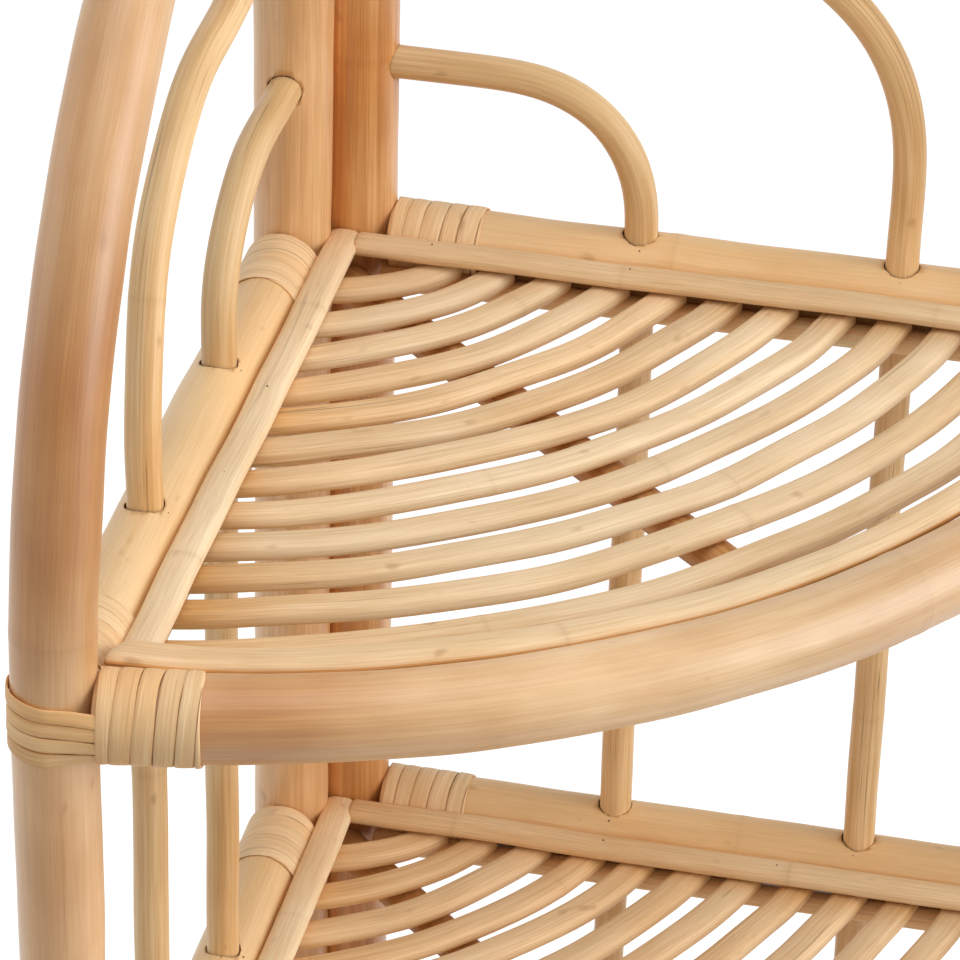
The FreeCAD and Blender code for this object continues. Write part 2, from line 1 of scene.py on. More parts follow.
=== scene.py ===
# The look of a rattan corner shelf: each cane is a swept tube with its own grain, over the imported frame.
#
# Places follow the frame. The corner is where the planes of the two side frames cross. The left side runs
# from it towards -Y and the right side towards +X. Lengths are in metres.
import math
import zlib

import bpy
import numpy as np
from mathutils import Matrix, Vector


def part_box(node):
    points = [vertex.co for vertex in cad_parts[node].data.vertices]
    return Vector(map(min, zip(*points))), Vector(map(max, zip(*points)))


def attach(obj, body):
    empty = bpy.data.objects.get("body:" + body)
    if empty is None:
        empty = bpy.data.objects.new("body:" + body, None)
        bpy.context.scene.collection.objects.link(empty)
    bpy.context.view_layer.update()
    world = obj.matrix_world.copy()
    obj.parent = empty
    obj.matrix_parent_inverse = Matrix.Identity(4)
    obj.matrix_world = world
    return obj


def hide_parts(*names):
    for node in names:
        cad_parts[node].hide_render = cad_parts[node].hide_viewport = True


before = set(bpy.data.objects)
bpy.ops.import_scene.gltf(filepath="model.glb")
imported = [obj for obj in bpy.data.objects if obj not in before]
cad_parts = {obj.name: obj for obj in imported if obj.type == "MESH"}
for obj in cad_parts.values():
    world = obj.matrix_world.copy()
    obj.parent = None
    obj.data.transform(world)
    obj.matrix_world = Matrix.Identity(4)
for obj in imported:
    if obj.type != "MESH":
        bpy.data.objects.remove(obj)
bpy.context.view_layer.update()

MM = 0.001
UP = Vector((0, 0, 1))
SIDES = {"left": Vector((0, -1, 0)), "right": Vector((1, 0, 0))}
INWARD = {"left": SIDES["right"], "right": SIDES["left"]}
DIAGONAL = Vector((1, -1, 0)).normalized()


# Sizes that the frame gives
def middle(node):
    low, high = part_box(node)
    return (low + high) / 2


def half_size(node, axis):
    low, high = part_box(node)
    return (high[axis] - low[axis]) / 2


TIERS = 4
HOOPS = ("small_hoop", "large_hoop")
POST_R = half_size("left_back_post", 0)
RAIL_R = half_size("tier1_left_rail", 2)
FRONT_R = half_size("tier1_front_rail", 2)
CANE_R = half_size("bay1_left_spindles", 0)
SLAT_R = half_size("tier1_slats", 2)
TRIM_R = half_size("tier1_front_trim", 2)
LEDGER_R = half_size("tier1_left_ledger", 2)
BEARER_R = half_size("tier1_cross_bearer", 2)
CORNER = Vector((middle("left_back_post").x, middle("right_back_post").y, 0))
POST_AT = CORNER.y - middle("left_back_post").y
REACH = -2 * CORNER.x
LEVELS = [middle(f"tier{tier + 1}_left_rail").z for tier in range(TIERS)]
SLAT_LEVEL = middle("tier1_slats").z - LEVELS[0]
TRIM_LEVEL = middle("tier1_front_trim").z - LEVELS[0]
LEDGER_LEVEL = middle("tier1_left_ledger").z - LEVELS[0]
BEARER_LEVEL = middle("tier1_cross_bearer").z - LEVELS[0]
TRIM_IN = middle("tier1_left_trim").x - CORNER.x
LEDGER_IN = middle("tier1_left_ledger").x - CORNER.x
POST_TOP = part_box("left_back_post")[1].z
ARCH_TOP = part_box("left_arch_pole")[1].z - POST_R
HOOP_TOPS = {kind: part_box(f"left_{kind}")[1].z - CANE_R for kind in HOOPS}
HOOPS_ALONG = {kind: CORNER.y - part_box(f"left_{kind}")[0].y - CANE_R for kind in HOOPS}

# Sizes that the boxes don't give: bends, slats, ledgers and what is drilled
BENDS = {"small_hoop": 50 * MM, "large_hoop": 92 * MM, "arch": 238 * MM}
FRONT_BOW = 90.7 * MM
SLATS = 12
FIRST_SLAT = 59 * MM
LAST_SLAT_GAP = 25 * MM
FIRST_BOW, LAST_BOW = 0.16, 0.30
LEDGER_START, LEDGER_STOP = 34 * MM, 25 * MM
POST_BEVEL = 4 * MM
SOCKET_DEPTH = 10 * MM
HOLE_SLACK = 0.5 * MM
HOOP_CLEAR = 0.3 * MM
SPINDLE_CLEAR = 0.2 * MM
# A butting rail and a level arch end reach into the round of a pole, to these shares of its radius
BUTT = 0.93
ARCH_BUTT = 0.6

# Peel bindings: wraps round the rails and lashings round the front poles
PEEL_THICKNESS = 0.9 * MM
PEEL_CLEAR = 0.3 * MM
WRAP_STRIPS = 5
WRAP_LENGTH = 35.1 * MM
WRAP_OFF = POST_R + 0.2 * MM
FRONT_WRAP_R = FRONT_R + 0.2 * MM
LASH_BANDS = 4
LASH_PITCH = 6.1 * MM
LASH_TUCK = 3 * MM

# Trims, slats and bearers: the width, height and squareness of their sections, and how far they are moved
TRIM_SECTION = {"wide": 1.37, "tall": 0.75, "square": 2.5}
SIDE_TRIM_DROP, FRONT_TRIM_DROP = 3.7 * MM, 0.2 * MM
TRIM_SUNK = 1.2 * MM
TRIM_OFF_POST = 0.4 * MM
FRONT_TRIM_START = 15 * MM
FRONT_TRIM_GAP = 2.3 * MM
FRONT_TRIM_RISE, FRONT_TRIM_RISE_LENGTH = 2.5 * MM, 22 * MM
FRONT_TRIM_SLANT = 0.6
SLANT_LENGTH = 18 * MM
SLAT_SECTION = {"wide": 1.27, "tall": 0.73, "square": 3.0}
SLAT_OFF_RAIL = 1.5 * MM
SLAT_SLIP, SLAT_SINK = 0.9 * MM, 0.4 * MM
LEFT_LEANS = {0: 15 * MM, 1: 7 * MM, 2: 3 * MM, SLATS - 1: -5 * MM}
BEARER_WIDE = 1.3
BEARER_OFF_POST, BEARER_BUTT = 12 * MM, 0.7
BEARER_LEANS = (2 * MM, 11 * MM)

# The front rail's arc passes through both front poles
FRONT_HALF_SPAN = REACH / math.sqrt(2)
FRONT_REACH = FRONT_HALF_SPAN + FRONT_BOW
FRONT_BEND = (FRONT_HALF_SPAN ** 2 + FRONT_BOW ** 2) / (2 * FRONT_BOW)
FRONT_CENTRE = (FRONT_REACH - FRONT_BEND) / math.sqrt(2)
FRONT_TRIM_APART = FRONT_R + TRIM_R + FRONT_TRIM_GAP
FRONT_TRIM_BEND = FRONT_BEND - math.sqrt(FRONT_TRIM_APART ** 2 - TRIM_LEVEL ** 2)
BEARER_START, BEARER_END = POST_R + BEARER_OFF_POST, FRONT_REACH - FRONT_R * BEARER_BUTT


def place(p, q, z):
    """Point at p along the right side and q along the left side."""
    return Vector((CORNER.x + p, CORNER.y - q, z))


def spot(side, along, inward, z):
    """Point at a distance along a side, a distance in from its plane, and a height."""
    return place(inward, along, z) if side == "left" else place(along, inward, z)


def arc_at_side(bend, centre, inward):
    """Distance along a side at which an arc about the diagonal crosses a line beside it."""
    return centre + math.sqrt(bend ** 2 - (inward - centre) ** 2)


# Random choices, the same on each run
SWAY_WAVES = (1.0, 0.57, 0.31)
SWAY_HEIGHT = 1.9


def draws(name):
    return np.random.default_rng(zlib.crc32(name.encode()))


def sway(rng, lengths, wave):
    """A smooth random curve along a cane, about 1 high."""
    total = np.zeros_like(lengths)
    for share in SWAY_WAVES:
        phase = rng.uniform(0, 2 * np.pi)
        total = total + math.sqrt(share) * np.sin(2 * np.pi * lengths / (wave * share) + phase)
    return total / SWAY_HEIGHT


# Paths
STEP = 4 * MM


def run(start, end, step=STEP):
    """Points on a straight line."""
    count = max(2, int((end - start).length / step) + 1)
    return [start.lerp(end, i / (count - 1)) for i in range(count)]


def arc(centre, start, end_turn, axis):
    """Points that turn about an axis through a centre, from a start point."""
    spoke = start - centre
    count = max(3, int(abs(end_turn) * spoke.length / STEP) + 1)
    return [centre + Matrix.Rotation(end_turn * i / (count - 1), 3, axis) @ spoke for i in range(count)]


def eased(path, reach=3, times=2):
    """A path whose bends come on by degrees.

    Each point moves to the mean of its neighbours, of which fewer count near the ends.
    """
    points = np.array(path)
    count = len(points)
    for _ in range(times):
        new = points.copy()
        for i in range(1, count - 1):
            near = min(reach, i, count - 1 - i)
            new[i] = points[i - near:i + near + 1].mean(axis=0)
        points = new
    return [Vector(point) for point in points]


def bent_path(side, along, foot, top, bend, inner_end):
    """Up from a foot, over a quarter bend and level back to the post."""
    out = SIDES[side]
    bend_start = spot(side, along, 0, top - bend)
    centre = bend_start - out * bend
    upright = run(spot(side, along, 0, foot), bend_start)
    over = arc(centre, bend_start, math.pi / 2, UP.cross(out) * -1)
    level = run(over[-1], spot(side, inner_end, 0, top))
    return eased(upright + over[1:] + level[1:])


def bowed_path(bend, centre, inward, z):
    """An arc about a point on the diagonal, from beside the left rail to beside the right rail."""
    along = arc_at_side(bend, centre, inward)
    hub = place(centre, centre, z)
    start = place(inward, along, z) - hub
    end = place(along, inward, z) - hub
    return arc(hub, hub + start, start.xy.angle_signed(end.xy) * -1, UP)


# Shapes: arrays of vertices, faces, straightened grain coordinates, and tone, warmth and streakiness
def joined(shapes):
    """Several shapes as one."""
    offset = 0
    out = {"verts": [], "quads": [], "tris": [], "grain": [], "shade": []}
    for shape in shapes:
        out["verts"].append(shape["verts"])
        out["quads"].append(shape["quads"] + offset)
        out["tris"].append(shape["tris"] + offset)
        out["grain"].append(shape["grain"])
        out["shade"].append(shape["shade"])
        offset += len(shape["verts"])
    return {key: np.concatenate(parts) for key, parts in out.items()}


def skin(rings, grain, shade, start_cap, end_cap):
    """Faces over rings of points, with a fan over each end."""
    count, sides = rings.shape[:2]
    index = np.arange(count * sides).reshape(count, sides)
    turn = np.roll(index, -1, axis=1)
    quads = np.stack([index[:-1], turn[:-1], turn[1:], index[1:]], axis=-1).reshape(-1, 4)
    verts = np.concatenate([rings.reshape(-1, 3), [start_cap], [end_cap]])
    first, last = count * sides, count * sides + 1
    tris = np.concatenate([
        np.stack([turn[0], index[0], np.full(sides, first)], axis=-1),
        np.stack([index[-1], turn[-1], np.full(sides, last)], axis=-1),
    ])

    def with_caps(values):
        """Values on all rings, and the means of the end rings for the middles of the fans."""
        ends = [values[i].mean(0, keepdims=True) for i in (0, -1)]
        return np.concatenate([values.reshape(-1, 3), *ends])

    return {"verts": verts, "quads": quads, "tris": tris,
            "grain": with_caps(grain), "shade": with_caps(shade)}


def path_lengths(points):
    steps = np.linalg.norm(np.diff(points, axis=0), axis=1)
    return np.concatenate([[0], np.cumsum(steps)])


STEEP = 0.9


def carried(points):
    """Tangents, normals and binormals of a path, turned as little as they can be."""
    tangents = np.gradient(points, axis=0)
    tangents /= np.linalg.norm(tangents, axis=1, keepdims=True)
    guide = np.array((0.0, 0.0, 1.0)) if abs(tangents[0][2]) < STEEP else np.array((1.0, 0.0, 0.0))
    normals = np.zeros_like(points)
    for i, tangent in enumerate(tangents):
        guide = guide - tangent * (guide @ tangent)
        guide = guide / np.linalg.norm(guide)
        normals[i] = guide
    return tangents, normals, np.cross(tangents, normals)


# Natural canes: lengths of the waves in which they change, and by how much
BEND_WAVES = (0.24, 0.21)
STRAIGHT_END = 30 * MM
THICK_WAVE, THICK_CHANGE = 0.13, 0.012
OVAL_CHANGE = 0.012
TONE_WAVE, TONE_CHANGE = 0.17, 0.02
WARM_WAVE, WARM_CHANGE = 0.3, 0.04
# A joint of the cane is a low ridge with a thin line
JOINT_FIRST, JOINT_NEXT, JOINT_STRENGTH = (0.25, 0.9), (0.75, 1.35), (0.5, 1.0)
JOINT_OFF_END = 8 * MM
RIDGE_LENGTH, RIDGE_HEIGHT = 2.4 * MM, 0.024
LINE_LENGTH, LINE_DEPTH = 0.6 * MM, 0.010
NO_JOINTS = 9.0
# Rings stand closer together at a joint, and at an end they draw in to the cap
JOINT_RINGS = np.array((-4.0, -2.2, -1.2, -0.5, 0.0, 0.5, 1.2, 2.2, 4.0)) * MM
END_INSETS = np.array((0.0, 0.3, 1.0))
END_DROPS = np.array((1.0, 0.3, 0.0))
RING_STEP = 0.25 * MM
# The grain of each cane is another stretch of the same noise
GRAIN_ROOM = 40


def joint_places(rng, total, spacing):
    """How far along a cane its joints are, and how strong each one is."""
    places = []
    at = rng.uniform(*JOINT_FIRST) * spacing
    while at < total - JOINT_OFF_END:
        places.append(at)
        at += spacing * rng.uniform(*JOINT_NEXT)
    return np.array(places), rng.uniform(*JOINT_STRENGTH, len(places))


def along_share(value, share):
    """A number, or a function of the share of the way along, as an array."""
    return value(share) if callable(value) else np.full_like(share, value)


def cane(name, path, radius, sides=32, bend=0.35 * MM, edge=0.8 * MM, tone=1.0, warm=0.0, streak=1.0,
         joints=0.22, mark=0.06, wide=1.0, tall=1.0, square=2.0, shade_band=None, slant=0.0):
    """A natural cane along a path: a little crooked, thick and thin, with faint joints and rounded ends.

    bend is how crooked it is, edge how far its ends are rounded, and joints the usual length between joints.
    tone, warm and streak are numbers, or functions of the share of the way along the cane. A warm of 0 to 1
    turns pale cane to honey, and 1 to 2 turns it to the dark brown of painted shade. mark is how dark a
    joint is. wide and tall stretch the section, and a square above 2 flattens its four sides. The band of
    painted shade is given as its turn round the section, from the top, its spread and the warmth it adds:
    painted shade where a trim, a ledger or the cane itself keeps light off. slant is how far the ends lean
    outwards, for each unit across, on the side that the section's side direction points to.
    """
    rng = draws(name)
    points = np.array(path)
    lengths = path_lengths(points)
    tangents, normals, binormals = carried(points)
    total = lengths[-1]
    held = np.clip(np.minimum(lengths, total - lengths) / STRAIGHT_END, 0, 1)
    for way, wave in zip((normals, binormals), BEND_WAVES):
        points = points + way * (bend * held * sway(rng, lengths, wave))[:, None]
    places, strengths = joint_places(rng, total, joints)

    # Where the rings are along the cane, and how far each is drawn in
    inner = np.concatenate([lengths, (places[:, None] + JOINT_RINGS).ravel()])
    inner = inner[(inner > 2 * edge) & (inner < total - 2 * edge)]
    inner = np.unique(np.round(inner / RING_STEP)) * RING_STEP
    spots = np.concatenate([END_INSETS * edge, inner, total - END_INSETS[::-1] * edge])
    drops = np.concatenate([END_DROPS * edge, np.zeros(len(inner)), END_DROPS[::-1] * edge])
    away = spots[:, None] - places
    ridge = (strengths * np.exp(-(away / RIDGE_LENGTH) ** 2)).sum(axis=1)
    line = (strengths * np.exp(-(away / LINE_LENGTH) ** 2)).sum(axis=1)

    def along(values):
        return np.stack([np.interp(spots, lengths, column) for column in values.T], axis=-1)

    # The section
    thickness = 1 + THICK_CHANGE * sway(rng, spots, THICK_WAVE) + RIDGE_HEIGHT * ridge - LINE_DEPTH * line
    angles = np.arange(sides) * 2 * np.pi / sides
    upward, sideward = np.cos(angles), np.sin(angles)
    oval = 1 + OVAL_CHANGE * np.cos(2 * (angles - rng.uniform(0, np.pi)))
    oval = oval * (np.abs(upward) ** square + np.abs(sideward) ** square) ** (-1 / square)
    reach = (radius * thickness - drops)[:, None] * oval
    across = tall * upward[:, None] * along(normals)[:, None]
    beside = wide * sideward[:, None] * along(binormals)[:, None]
    centres = along(points)
    rings = centres[:, None] + reach[..., None] * (across + beside)
    lean = np.clip(1 - (total - spots) / SLANT_LENGTH, 0, 1) - np.clip(1 - spots / SLANT_LENGTH, 0, 1)
    heading = slant * lean[:, None] * reach * wide * sideward
    rings = rings + heading[..., None] * along(tangents)[:, None]

    # Grain and shade
    grain = np.stack([reach * upward, reach * sideward, np.repeat(spots[:, None], sides, 1)], -1)
    grain = grain + rng.uniform(0, GRAIN_ROOM, 3)
    tones, warmth, streaks = (along_share(value, spots / total) for value in (tone, warm, streak))
    tones = tones * (1 - mark * (0.5 * ridge + line)) * (1 + TONE_CHANGE * sway(rng, spots, TONE_WAVE))
    warmth = warmth + WARM_CHANGE * sway(rng, spots, WARM_WAVE) + mark * ridge
    shade = np.repeat(np.stack([tones, warmth, streaks], axis=-1)[:, None], sides, axis=1)
    # Painted shade: a band round the section made warmer, up to dark brown, where light is kept off
    if shade_band is not None:
        turn, spread, shade_warmth = shade_band
        depth = np.exp(-((1 - np.cos(angles - turn)) / spread) ** 2)
        shade = shade + np.multiply.outer(depth, (0, shade_warmth, 0))
    return skin(rings, grain, shade, centres[0], centres[-1])


# Peel: places across a strip, on top and then underneath, and its height at the top places. The first edge
# of a lapped strip rides up on the strip beside it.
PEEL_TOP = (0.0, 0.05, 0.25, 0.5, 0.75, 0.95, 1.0)
PEEL_UNDER = (0.9, 0.1)
LAPPED = (0.82, 1.08, 1.12, 1.06, 0.96, 0.8, 0.5)
FLUSH = (0.93, 1.0, 1.03, 1.03, 1.02, 0.98, 0.9)
PEEL_TONE_WAVE, PEEL_TONE_CHANGE = 0.09, 0.05
PEEL_WARM_WAVE, PEEL_WARM_CHANGE = 0.14, 0.10


def strip(edges_low, edges_high, outward, name, tone, warm, crown):
    """A flat peel between two edges, given as the points on each edge and their outward directions."""
    rng = draws(name)
    low, high = np.array(edges_low), np.array(edges_high)
    lengths = path_lengths((low + high) / 2)
    share = np.array(PEEL_TOP + PEEL_UNDER)
    lift = np.array(crown + (0.0, 0.0)) * PEEL_THICKNESS
    rings = low[:, None] * (1 - share)[None, :, None] + high[:, None] * share[None, :, None]
    rings = rings + outward[:, None] * lift[None, :, None]
    width = np.linalg.norm(high - low, axis=1)
    grain = np.stack([share[None] * width[:, None], np.repeat(lift[None], len(low), 0),
                      np.repeat(lengths[:, None], len(share), 1)], -1) + rng.uniform(0, GRAIN_ROOM, 3)
    shade = np.ones_like(grain)
    shade[..., 0] = (tone * (1 + PEEL_TONE_CHANGE * sway(rng, lengths, PEEL_TONE_WAVE)))[:, None]
    shade[..., 1] = (warm + PEEL_WARM_CHANGE * sway(rng, lengths, PEEL_WARM_WAVE))[:, None]
    caps = rings.mean(axis=1)
    return skin(rings, grain, shade, caps[0], caps[-1])


# Wraps: gaps between turns in millimetres, and how uneven the turns are
LOOSE_GAPS = (0.15, 0.35, 0.7)
TIGHT_GAPS = (0.02, 0.05)
TURN_WIDTHS = (0.78, 1.22)
TURN_POINTS = 52
TURN_CUT = 0.04
EDGE_WAVE, EDGE_CHANGE = 0.035, 0.12 * MM
GAPE_WAVE, GAPE_MEAN, GAPE_CHANGE = 0.075, 0.5, 0.6
TURN_LAP = 0.25 * MM
LEAST_WIDTH = 0.05 * MM


def wrap(name, start, axis, radius, hand=1, gaps=LOOSE_GAPS, crown=LAPPED, tone=1.0, warm=0.0):
    """One peel wound round a cane without a break, its turns uneven in width and its ends square."""
    rng = draws(name)
    borders = np.concatenate([[0], np.cumsum(rng.uniform(*TURN_WIDTHS, WRAP_STRIPS))])
    borders *= WRAP_LENGTH / borders[-1]
    gaps = rng.choice(gaps, WRAP_STRIPS + 1) * MM
    turn = np.linspace(TURN_CUT - 1, WRAP_STRIPS - TURN_CUT, WRAP_STRIPS * TURN_POINTS)
    counts = np.arange(WRAP_STRIPS + 1)
    length = turn * 2 * np.pi * radius
    low = np.interp(turn, counts, borders) + EDGE_CHANGE * sway(rng, length, EDGE_WAVE)
    gape = np.clip(GAPE_MEAN + GAPE_CHANGE * sway(rng, length, GAPE_WAVE), 0, 1)
    high = np.interp(turn + 1, counts, borders) - np.interp(turn, counts, gaps) * gape
    high = np.maximum(high + TURN_LAP * (1 - gape), low + LEAST_WIDTH)
    axis = np.array(axis)
    across = np.array(UP) if abs(axis[2]) < STEEP else np.array((1.0, 0, 0))
    beside = np.cross(axis, across)
    swing = hand * turn * 2 * np.pi
    outward = np.cos(swing)[:, None] * across + np.sin(swing)[:, None] * beside
    base = np.array(start) + outward * (radius + PEEL_CLEAR)
    return strip(base + axis * low[:, None], base + axis * high[:, None], outward, name, tone, warm, crown)


def front_frame(side, along):
    """Point and direction on the front rail's axis at a length along it from a pole, at height 0."""
    hub = place(FRONT_CENTRE, FRONT_CENTRE, 0)
    way = 1 if side == "left" else -1
    spoke = spot(side, REACH, 0, 0) - hub
    spoke = Matrix.Rotation(way * along / FRONT_BEND, 3, UP) @ spoke
    return hub + spoke, UP.cross(spoke).normalized() * way


# Lashings: points along them, and how uneven their bands are
LASH_ROUND_POINTS, LASH_END_POINTS = 34, 11
LASH_DRAW_IN = 0.14
LASH_SLIP, LASH_TILT = 0.3 * MM, 0.7 * MM
LASH_WIDTHS = (-0.5 * MM, 0.3 * MM)
LASH_WAVE, LASH_CHANGE = 0.05, 0.15 * MM
LASH_LIFT = 0.16 * MM
LASH_TONES, LASH_WARMTH = (1.02, 1.11), 0.5


def lash_way(side):
    """Plan of a lashing: from the side rail's wrap, round the pole's outer side, to the front rail's wrap.

    Gives the middle line's offsets from the pole's axis, the outward directions and how far each point is
    onto a rail.
    """
    heading = front_frame(side, 0)[1]
    back = np.array(-SIDES[side])
    first = np.array(-INWARD[side])
    last = np.array(heading.cross(UP)) * (1 if side == "left" else -1)
    turn = math.acos(np.clip(first @ last, -1, 1))
    steps = np.linspace(0, 1, LASH_ROUND_POINTS)[:, None]
    normals = (np.sin((1 - steps) * turn) * first + np.sin(steps * turn) * last) / math.sin(turn)
    ends = np.linspace(1, 0, LASH_END_POINTS + 1)[:-1]
    reach = WRAP_OFF + LASH_TUCK
    before = back * reach * ends[:, None] + first * (RAIL_R + (POST_R - RAIL_R) * (1 - ends[:, None]))
    after = np.array(heading) * reach * ends[::-1, None] + last * FRONT_R
    offsets = np.concatenate([before, normals * POST_R, after])
    outward = np.concatenate([np.repeat(first[None], LASH_END_POINTS, 0), normals,
                              np.repeat(last[None], LASH_END_POINTS, 0)])
    onto = np.concatenate([ends, np.zeros(LASH_ROUND_POINTS), ends[::-1]])
    return offsets, outward, onto


def lash(name, side, z):
    """Bands of peel round the outer side of a pole, drawn together where they go under the rails' wraps."""
    rng = draws(name)
    offsets, outward, onto = lash_way(side)
    lengths = path_lengths(offsets)
    share = 2 * lengths / lengths[-1] - 1
    pitch = LASH_PITCH * (1 - LASH_DRAW_IN * share ** 2)
    axis = np.array(spot(side, REACH, 0, z))
    up = np.array(UP)
    shapes = []

    def edge(rise, lift):
        """Points at a rise above the middle line, which follow the round of the rails at both ends."""
        angle = rise / POST_R
        sunk = POST_R * (1 - np.cos(angle)) * onto
        height = rise * (1 - onto) + POST_R * np.sin(angle) * onto
        return axis + offsets + outward * (PEEL_CLEAR + lift - sunk)[:, None] + up * height[:, None]

    def waver():
        return LASH_CHANGE * sway(rng, lengths, LASH_WAVE)

    for band in range(LASH_BANDS):
        slip = rng.uniform(-1, 1) * LASH_SLIP + rng.uniform(-1, 1) * LASH_TILT * share
        low = (band - LASH_BANDS / 2) * pitch + slip + waver()
        high = low + pitch + rng.uniform(*LASH_WIDTHS) + waver()
        lift = LASH_LIFT * rng.permutation(LASH_BANDS)[0]
        tone = rng.uniform(*LASH_TONES)
        shapes.append(strip(edge(low, lift), edge(high, lift), outward, f"{name}_{band}", tone,
                            LASH_WARMTH, LAPPED))
    return joined(shapes)


# Materials
def srgb(red, green, blue):
    """A colour as it shows on a screen, from 0 to 255, as Blender's linear one."""
    def linear(value):
        value = value / 255
        return value / 12.92 if value <= 0.04045 else ((value + 0.055) / 1.055) ** 2.4
    return linear(red), linear(green), linear(blue), 1.0


class Tree:
    """Short ways to add nodes to a material."""

    def __init__(self, name):
        self.material = bpy.data.materials.new(name)
        self.material.use_nodes = True
        self.nodes = self.material.node_tree.nodes
        self.links = self.material.node_tree.links
        self.shader = self.nodes["Principled BSDF"]
        self.output = self.nodes["Material Output"]

    def add(self, kind, **settings):
        node = self.nodes.new(kind)
        for key, value in settings.items():
            setattr(node, key, value)
        return node

    def fill(self, socket, value):
        if isinstance(value, bpy.types.NodeSocket):
            self.links.new(value, socket)
        else:
            socket.default_value = value

    def attribute(self, name):
        return self.add("ShaderNodeAttribute", attribute_name=name).outputs["Vector"]

    def math(self, operation, first, second=0.0, third=0.0, clamp=False):
        node = self.add("ShaderNodeMath", operation=operation, use_clamp=clamp)
        for socket, value in zip(node.inputs, (first, second, third)):
            self.fill(socket, value)
        return node.outputs[0]

    def stretched(self, vector, scale):
        node = self.add("ShaderNodeVectorMath", operation="MULTIPLY")
        self.fill(node.inputs[0], vector)
        node.inputs[1].default_value = scale
        return node.outputs[0]

    def noise(self, vector, scale, detail=2.0, roughness=0.5):
        """Noise with this many waves a metre in each direction."""
        node = self.add("ShaderNodeTexNoise")
        self.fill(node.inputs["Vector"], self.stretched(vector, scale))
        node.inputs["Scale"].default_value = 1.0
        node.inputs["Detail"].default_value = detail
        node.inputs["Roughness"].default_value = roughness
        return node.outputs["Fac"]

    def mix(self, factor, first, second):
        node = self.add("ShaderNodeMix", data_type="RGBA", clamp_result=True)
        self.fill(node.inputs["Factor"], factor)
        self.fill(node.inputs[6], first)
        self.fill(node.inputs[7], second)
        return node.outputs[2]

    def ranged(self, value, low, high, to_low=0.0, to_high=1.0):
        node = self.add("ShaderNodeMapRange", interpolation_type="SMOOTHSTEP")
        for socket, setting in zip(node.inputs, (value, low, high, to_low, to_high)):
            self.fill(socket, setting)
        return node.outputs[0]

    def lit(self, colour, amount):
        """A colour made lighter or darker by a number."""
        node = self.add("ShaderNodeVectorMath", operation="SCALE")
        self.fill(node.inputs[0], colour)
        self.fill(node.inputs["Scale"], amount)
        return node.outputs[0]

    def deepened(self, colour, light):
        """A colour made darker and browner where the light is under 1, and lighter and paler above 1."""
        node = self.add("ShaderNodeGamma")
        self.fill(node.inputs["Color"], colour)
        self.fill(node.inputs["Gamma"], self.math("SUBTRACT", 2.0, light))
        return self.lit(node.outputs[0], self.math("MULTIPLY_ADD", light, 0.6, 0.4))

    def bump(self, height, strength, distance, invert=False):
        node = self.add("ShaderNodeBump", invert=invert)
        node.inputs["Strength"].default_value = strength
        node.inputs["Distance"].default_value = distance
        self.links.new(height, node.inputs["Height"])
        self.links.new(node.outputs["Normal"], self.shader.inputs["Normal"])


DARK_FIBRE = srgb(112, 70, 34)
# The dark brown of painted shade, reached where warm goes from 1 to 2
PAINTED_SHADE_BROWN = srgb(74, 40, 15)
SPOT_BROWN = srgb(164, 108, 56)
PATCH_MIDDLE, PATCH_SWING = 0.35, 0.9
SPOT_STRENGTH = 0.4


def rattan(name, pale, honey, fibres, lines, streaks, clouds, cracks, gloss):
    """Peeled cane: pale and honey patches, lengthwise fibres, lines and streaks, spots and dark cracks."""
    tree = Tree(name)
    grain = tree.attribute("grain")
    shade = tree.add("ShaderNodeSeparateXYZ")
    tree.links.new(tree.attribute("shade"), shade.inputs[0])
    tone, warm, streaky = shade.outputs

    def marks(across, lengthwise, detail=2.0, roughness=0.5):
        """Noise with this many waves a metre across the cane and along it."""
        return tree.noise(grain, (across, across, lengthwise), detail, roughness)

    def about(value, amount, base):
        """A noise value's swing about its middle, times an amount, added to a base."""
        return tree.math("MULTIPLY_ADD", tree.math("SUBTRACT", value, 0.5), amount, base)

    fibre = marks(1700, 48)
    line = marks(820, 12, roughness=0.6)
    streak = marks(230, 7)
    patch = marks(36, 10)
    cloud = marks(30, 16, detail=3.0)
    spot_place = marks(150, 70, detail=1.0)
    crack_line = marks(520, 3.6, detail=1.0)
    crack_place = marks(130, 7, detail=1.0)
    honey_share = tree.math("ADD", about(patch, PATCH_SWING, PATCH_MIDDLE), warm, clamp=True)
    light = about(cloud, clouds, about(fibre, fibres, 1.0))
    light = about(line, tree.math("MULTIPLY", streaky, lines), light)
    light = about(streak, tree.math("MULTIPLY", streaky, streaks), light)
    colour = tree.lit(tree.deepened(tree.mix(honey_share, pale, honey), light), tone)
    colour = tree.mix(tree.ranged(spot_place, 0.70, 0.84, 0.0, SPOT_STRENGTH), colour, SPOT_BROWN)
    nearness = tree.math("ABSOLUTE", tree.math("SUBTRACT", crack_line, 0.5))
    crack = tree.ranged(nearness, 0.0, 0.022, 1.0, 0.0)
    crack = tree.math("MULTIPLY", crack, tree.ranged(crack_place, 0.54, 0.64))
    crack = tree.math("MULTIPLY", tree.math("MULTIPLY", crack, streaky), cracks, clamp=True)
    colour = tree.mix(crack, colour, DARK_FIBRE)
    # Painted shade: a warm from 1 to 2 turns the colour to dark brown
    colour = tree.mix(tree.ranged(warm, 1.0, 2.0), colour, PAINTED_SHADE_BROWN)
    tree.links.new(colour, tree.shader.inputs["Base Color"])
    tree.fill(tree.shader.inputs["Roughness"], tree.ranged(streak, 0.3, 0.7, 0.40, 0.54))
    tree.shader.inputs["Specular IOR Level"].default_value = 0.15 + gloss / 2
    tree.shader.inputs["Coat Weight"].default_value = gloss
    tree.shader.inputs["Coat Roughness"].default_value = 0.34
    fine = tree.math("MULTIPLY_ADD", line, 0.8, fibre)
    tree.bump(tree.math("SUBTRACT", fine, tree.math("MULTIPLY", crack, 1.5)), 0.35, 0.35 * MM)
    return tree.material


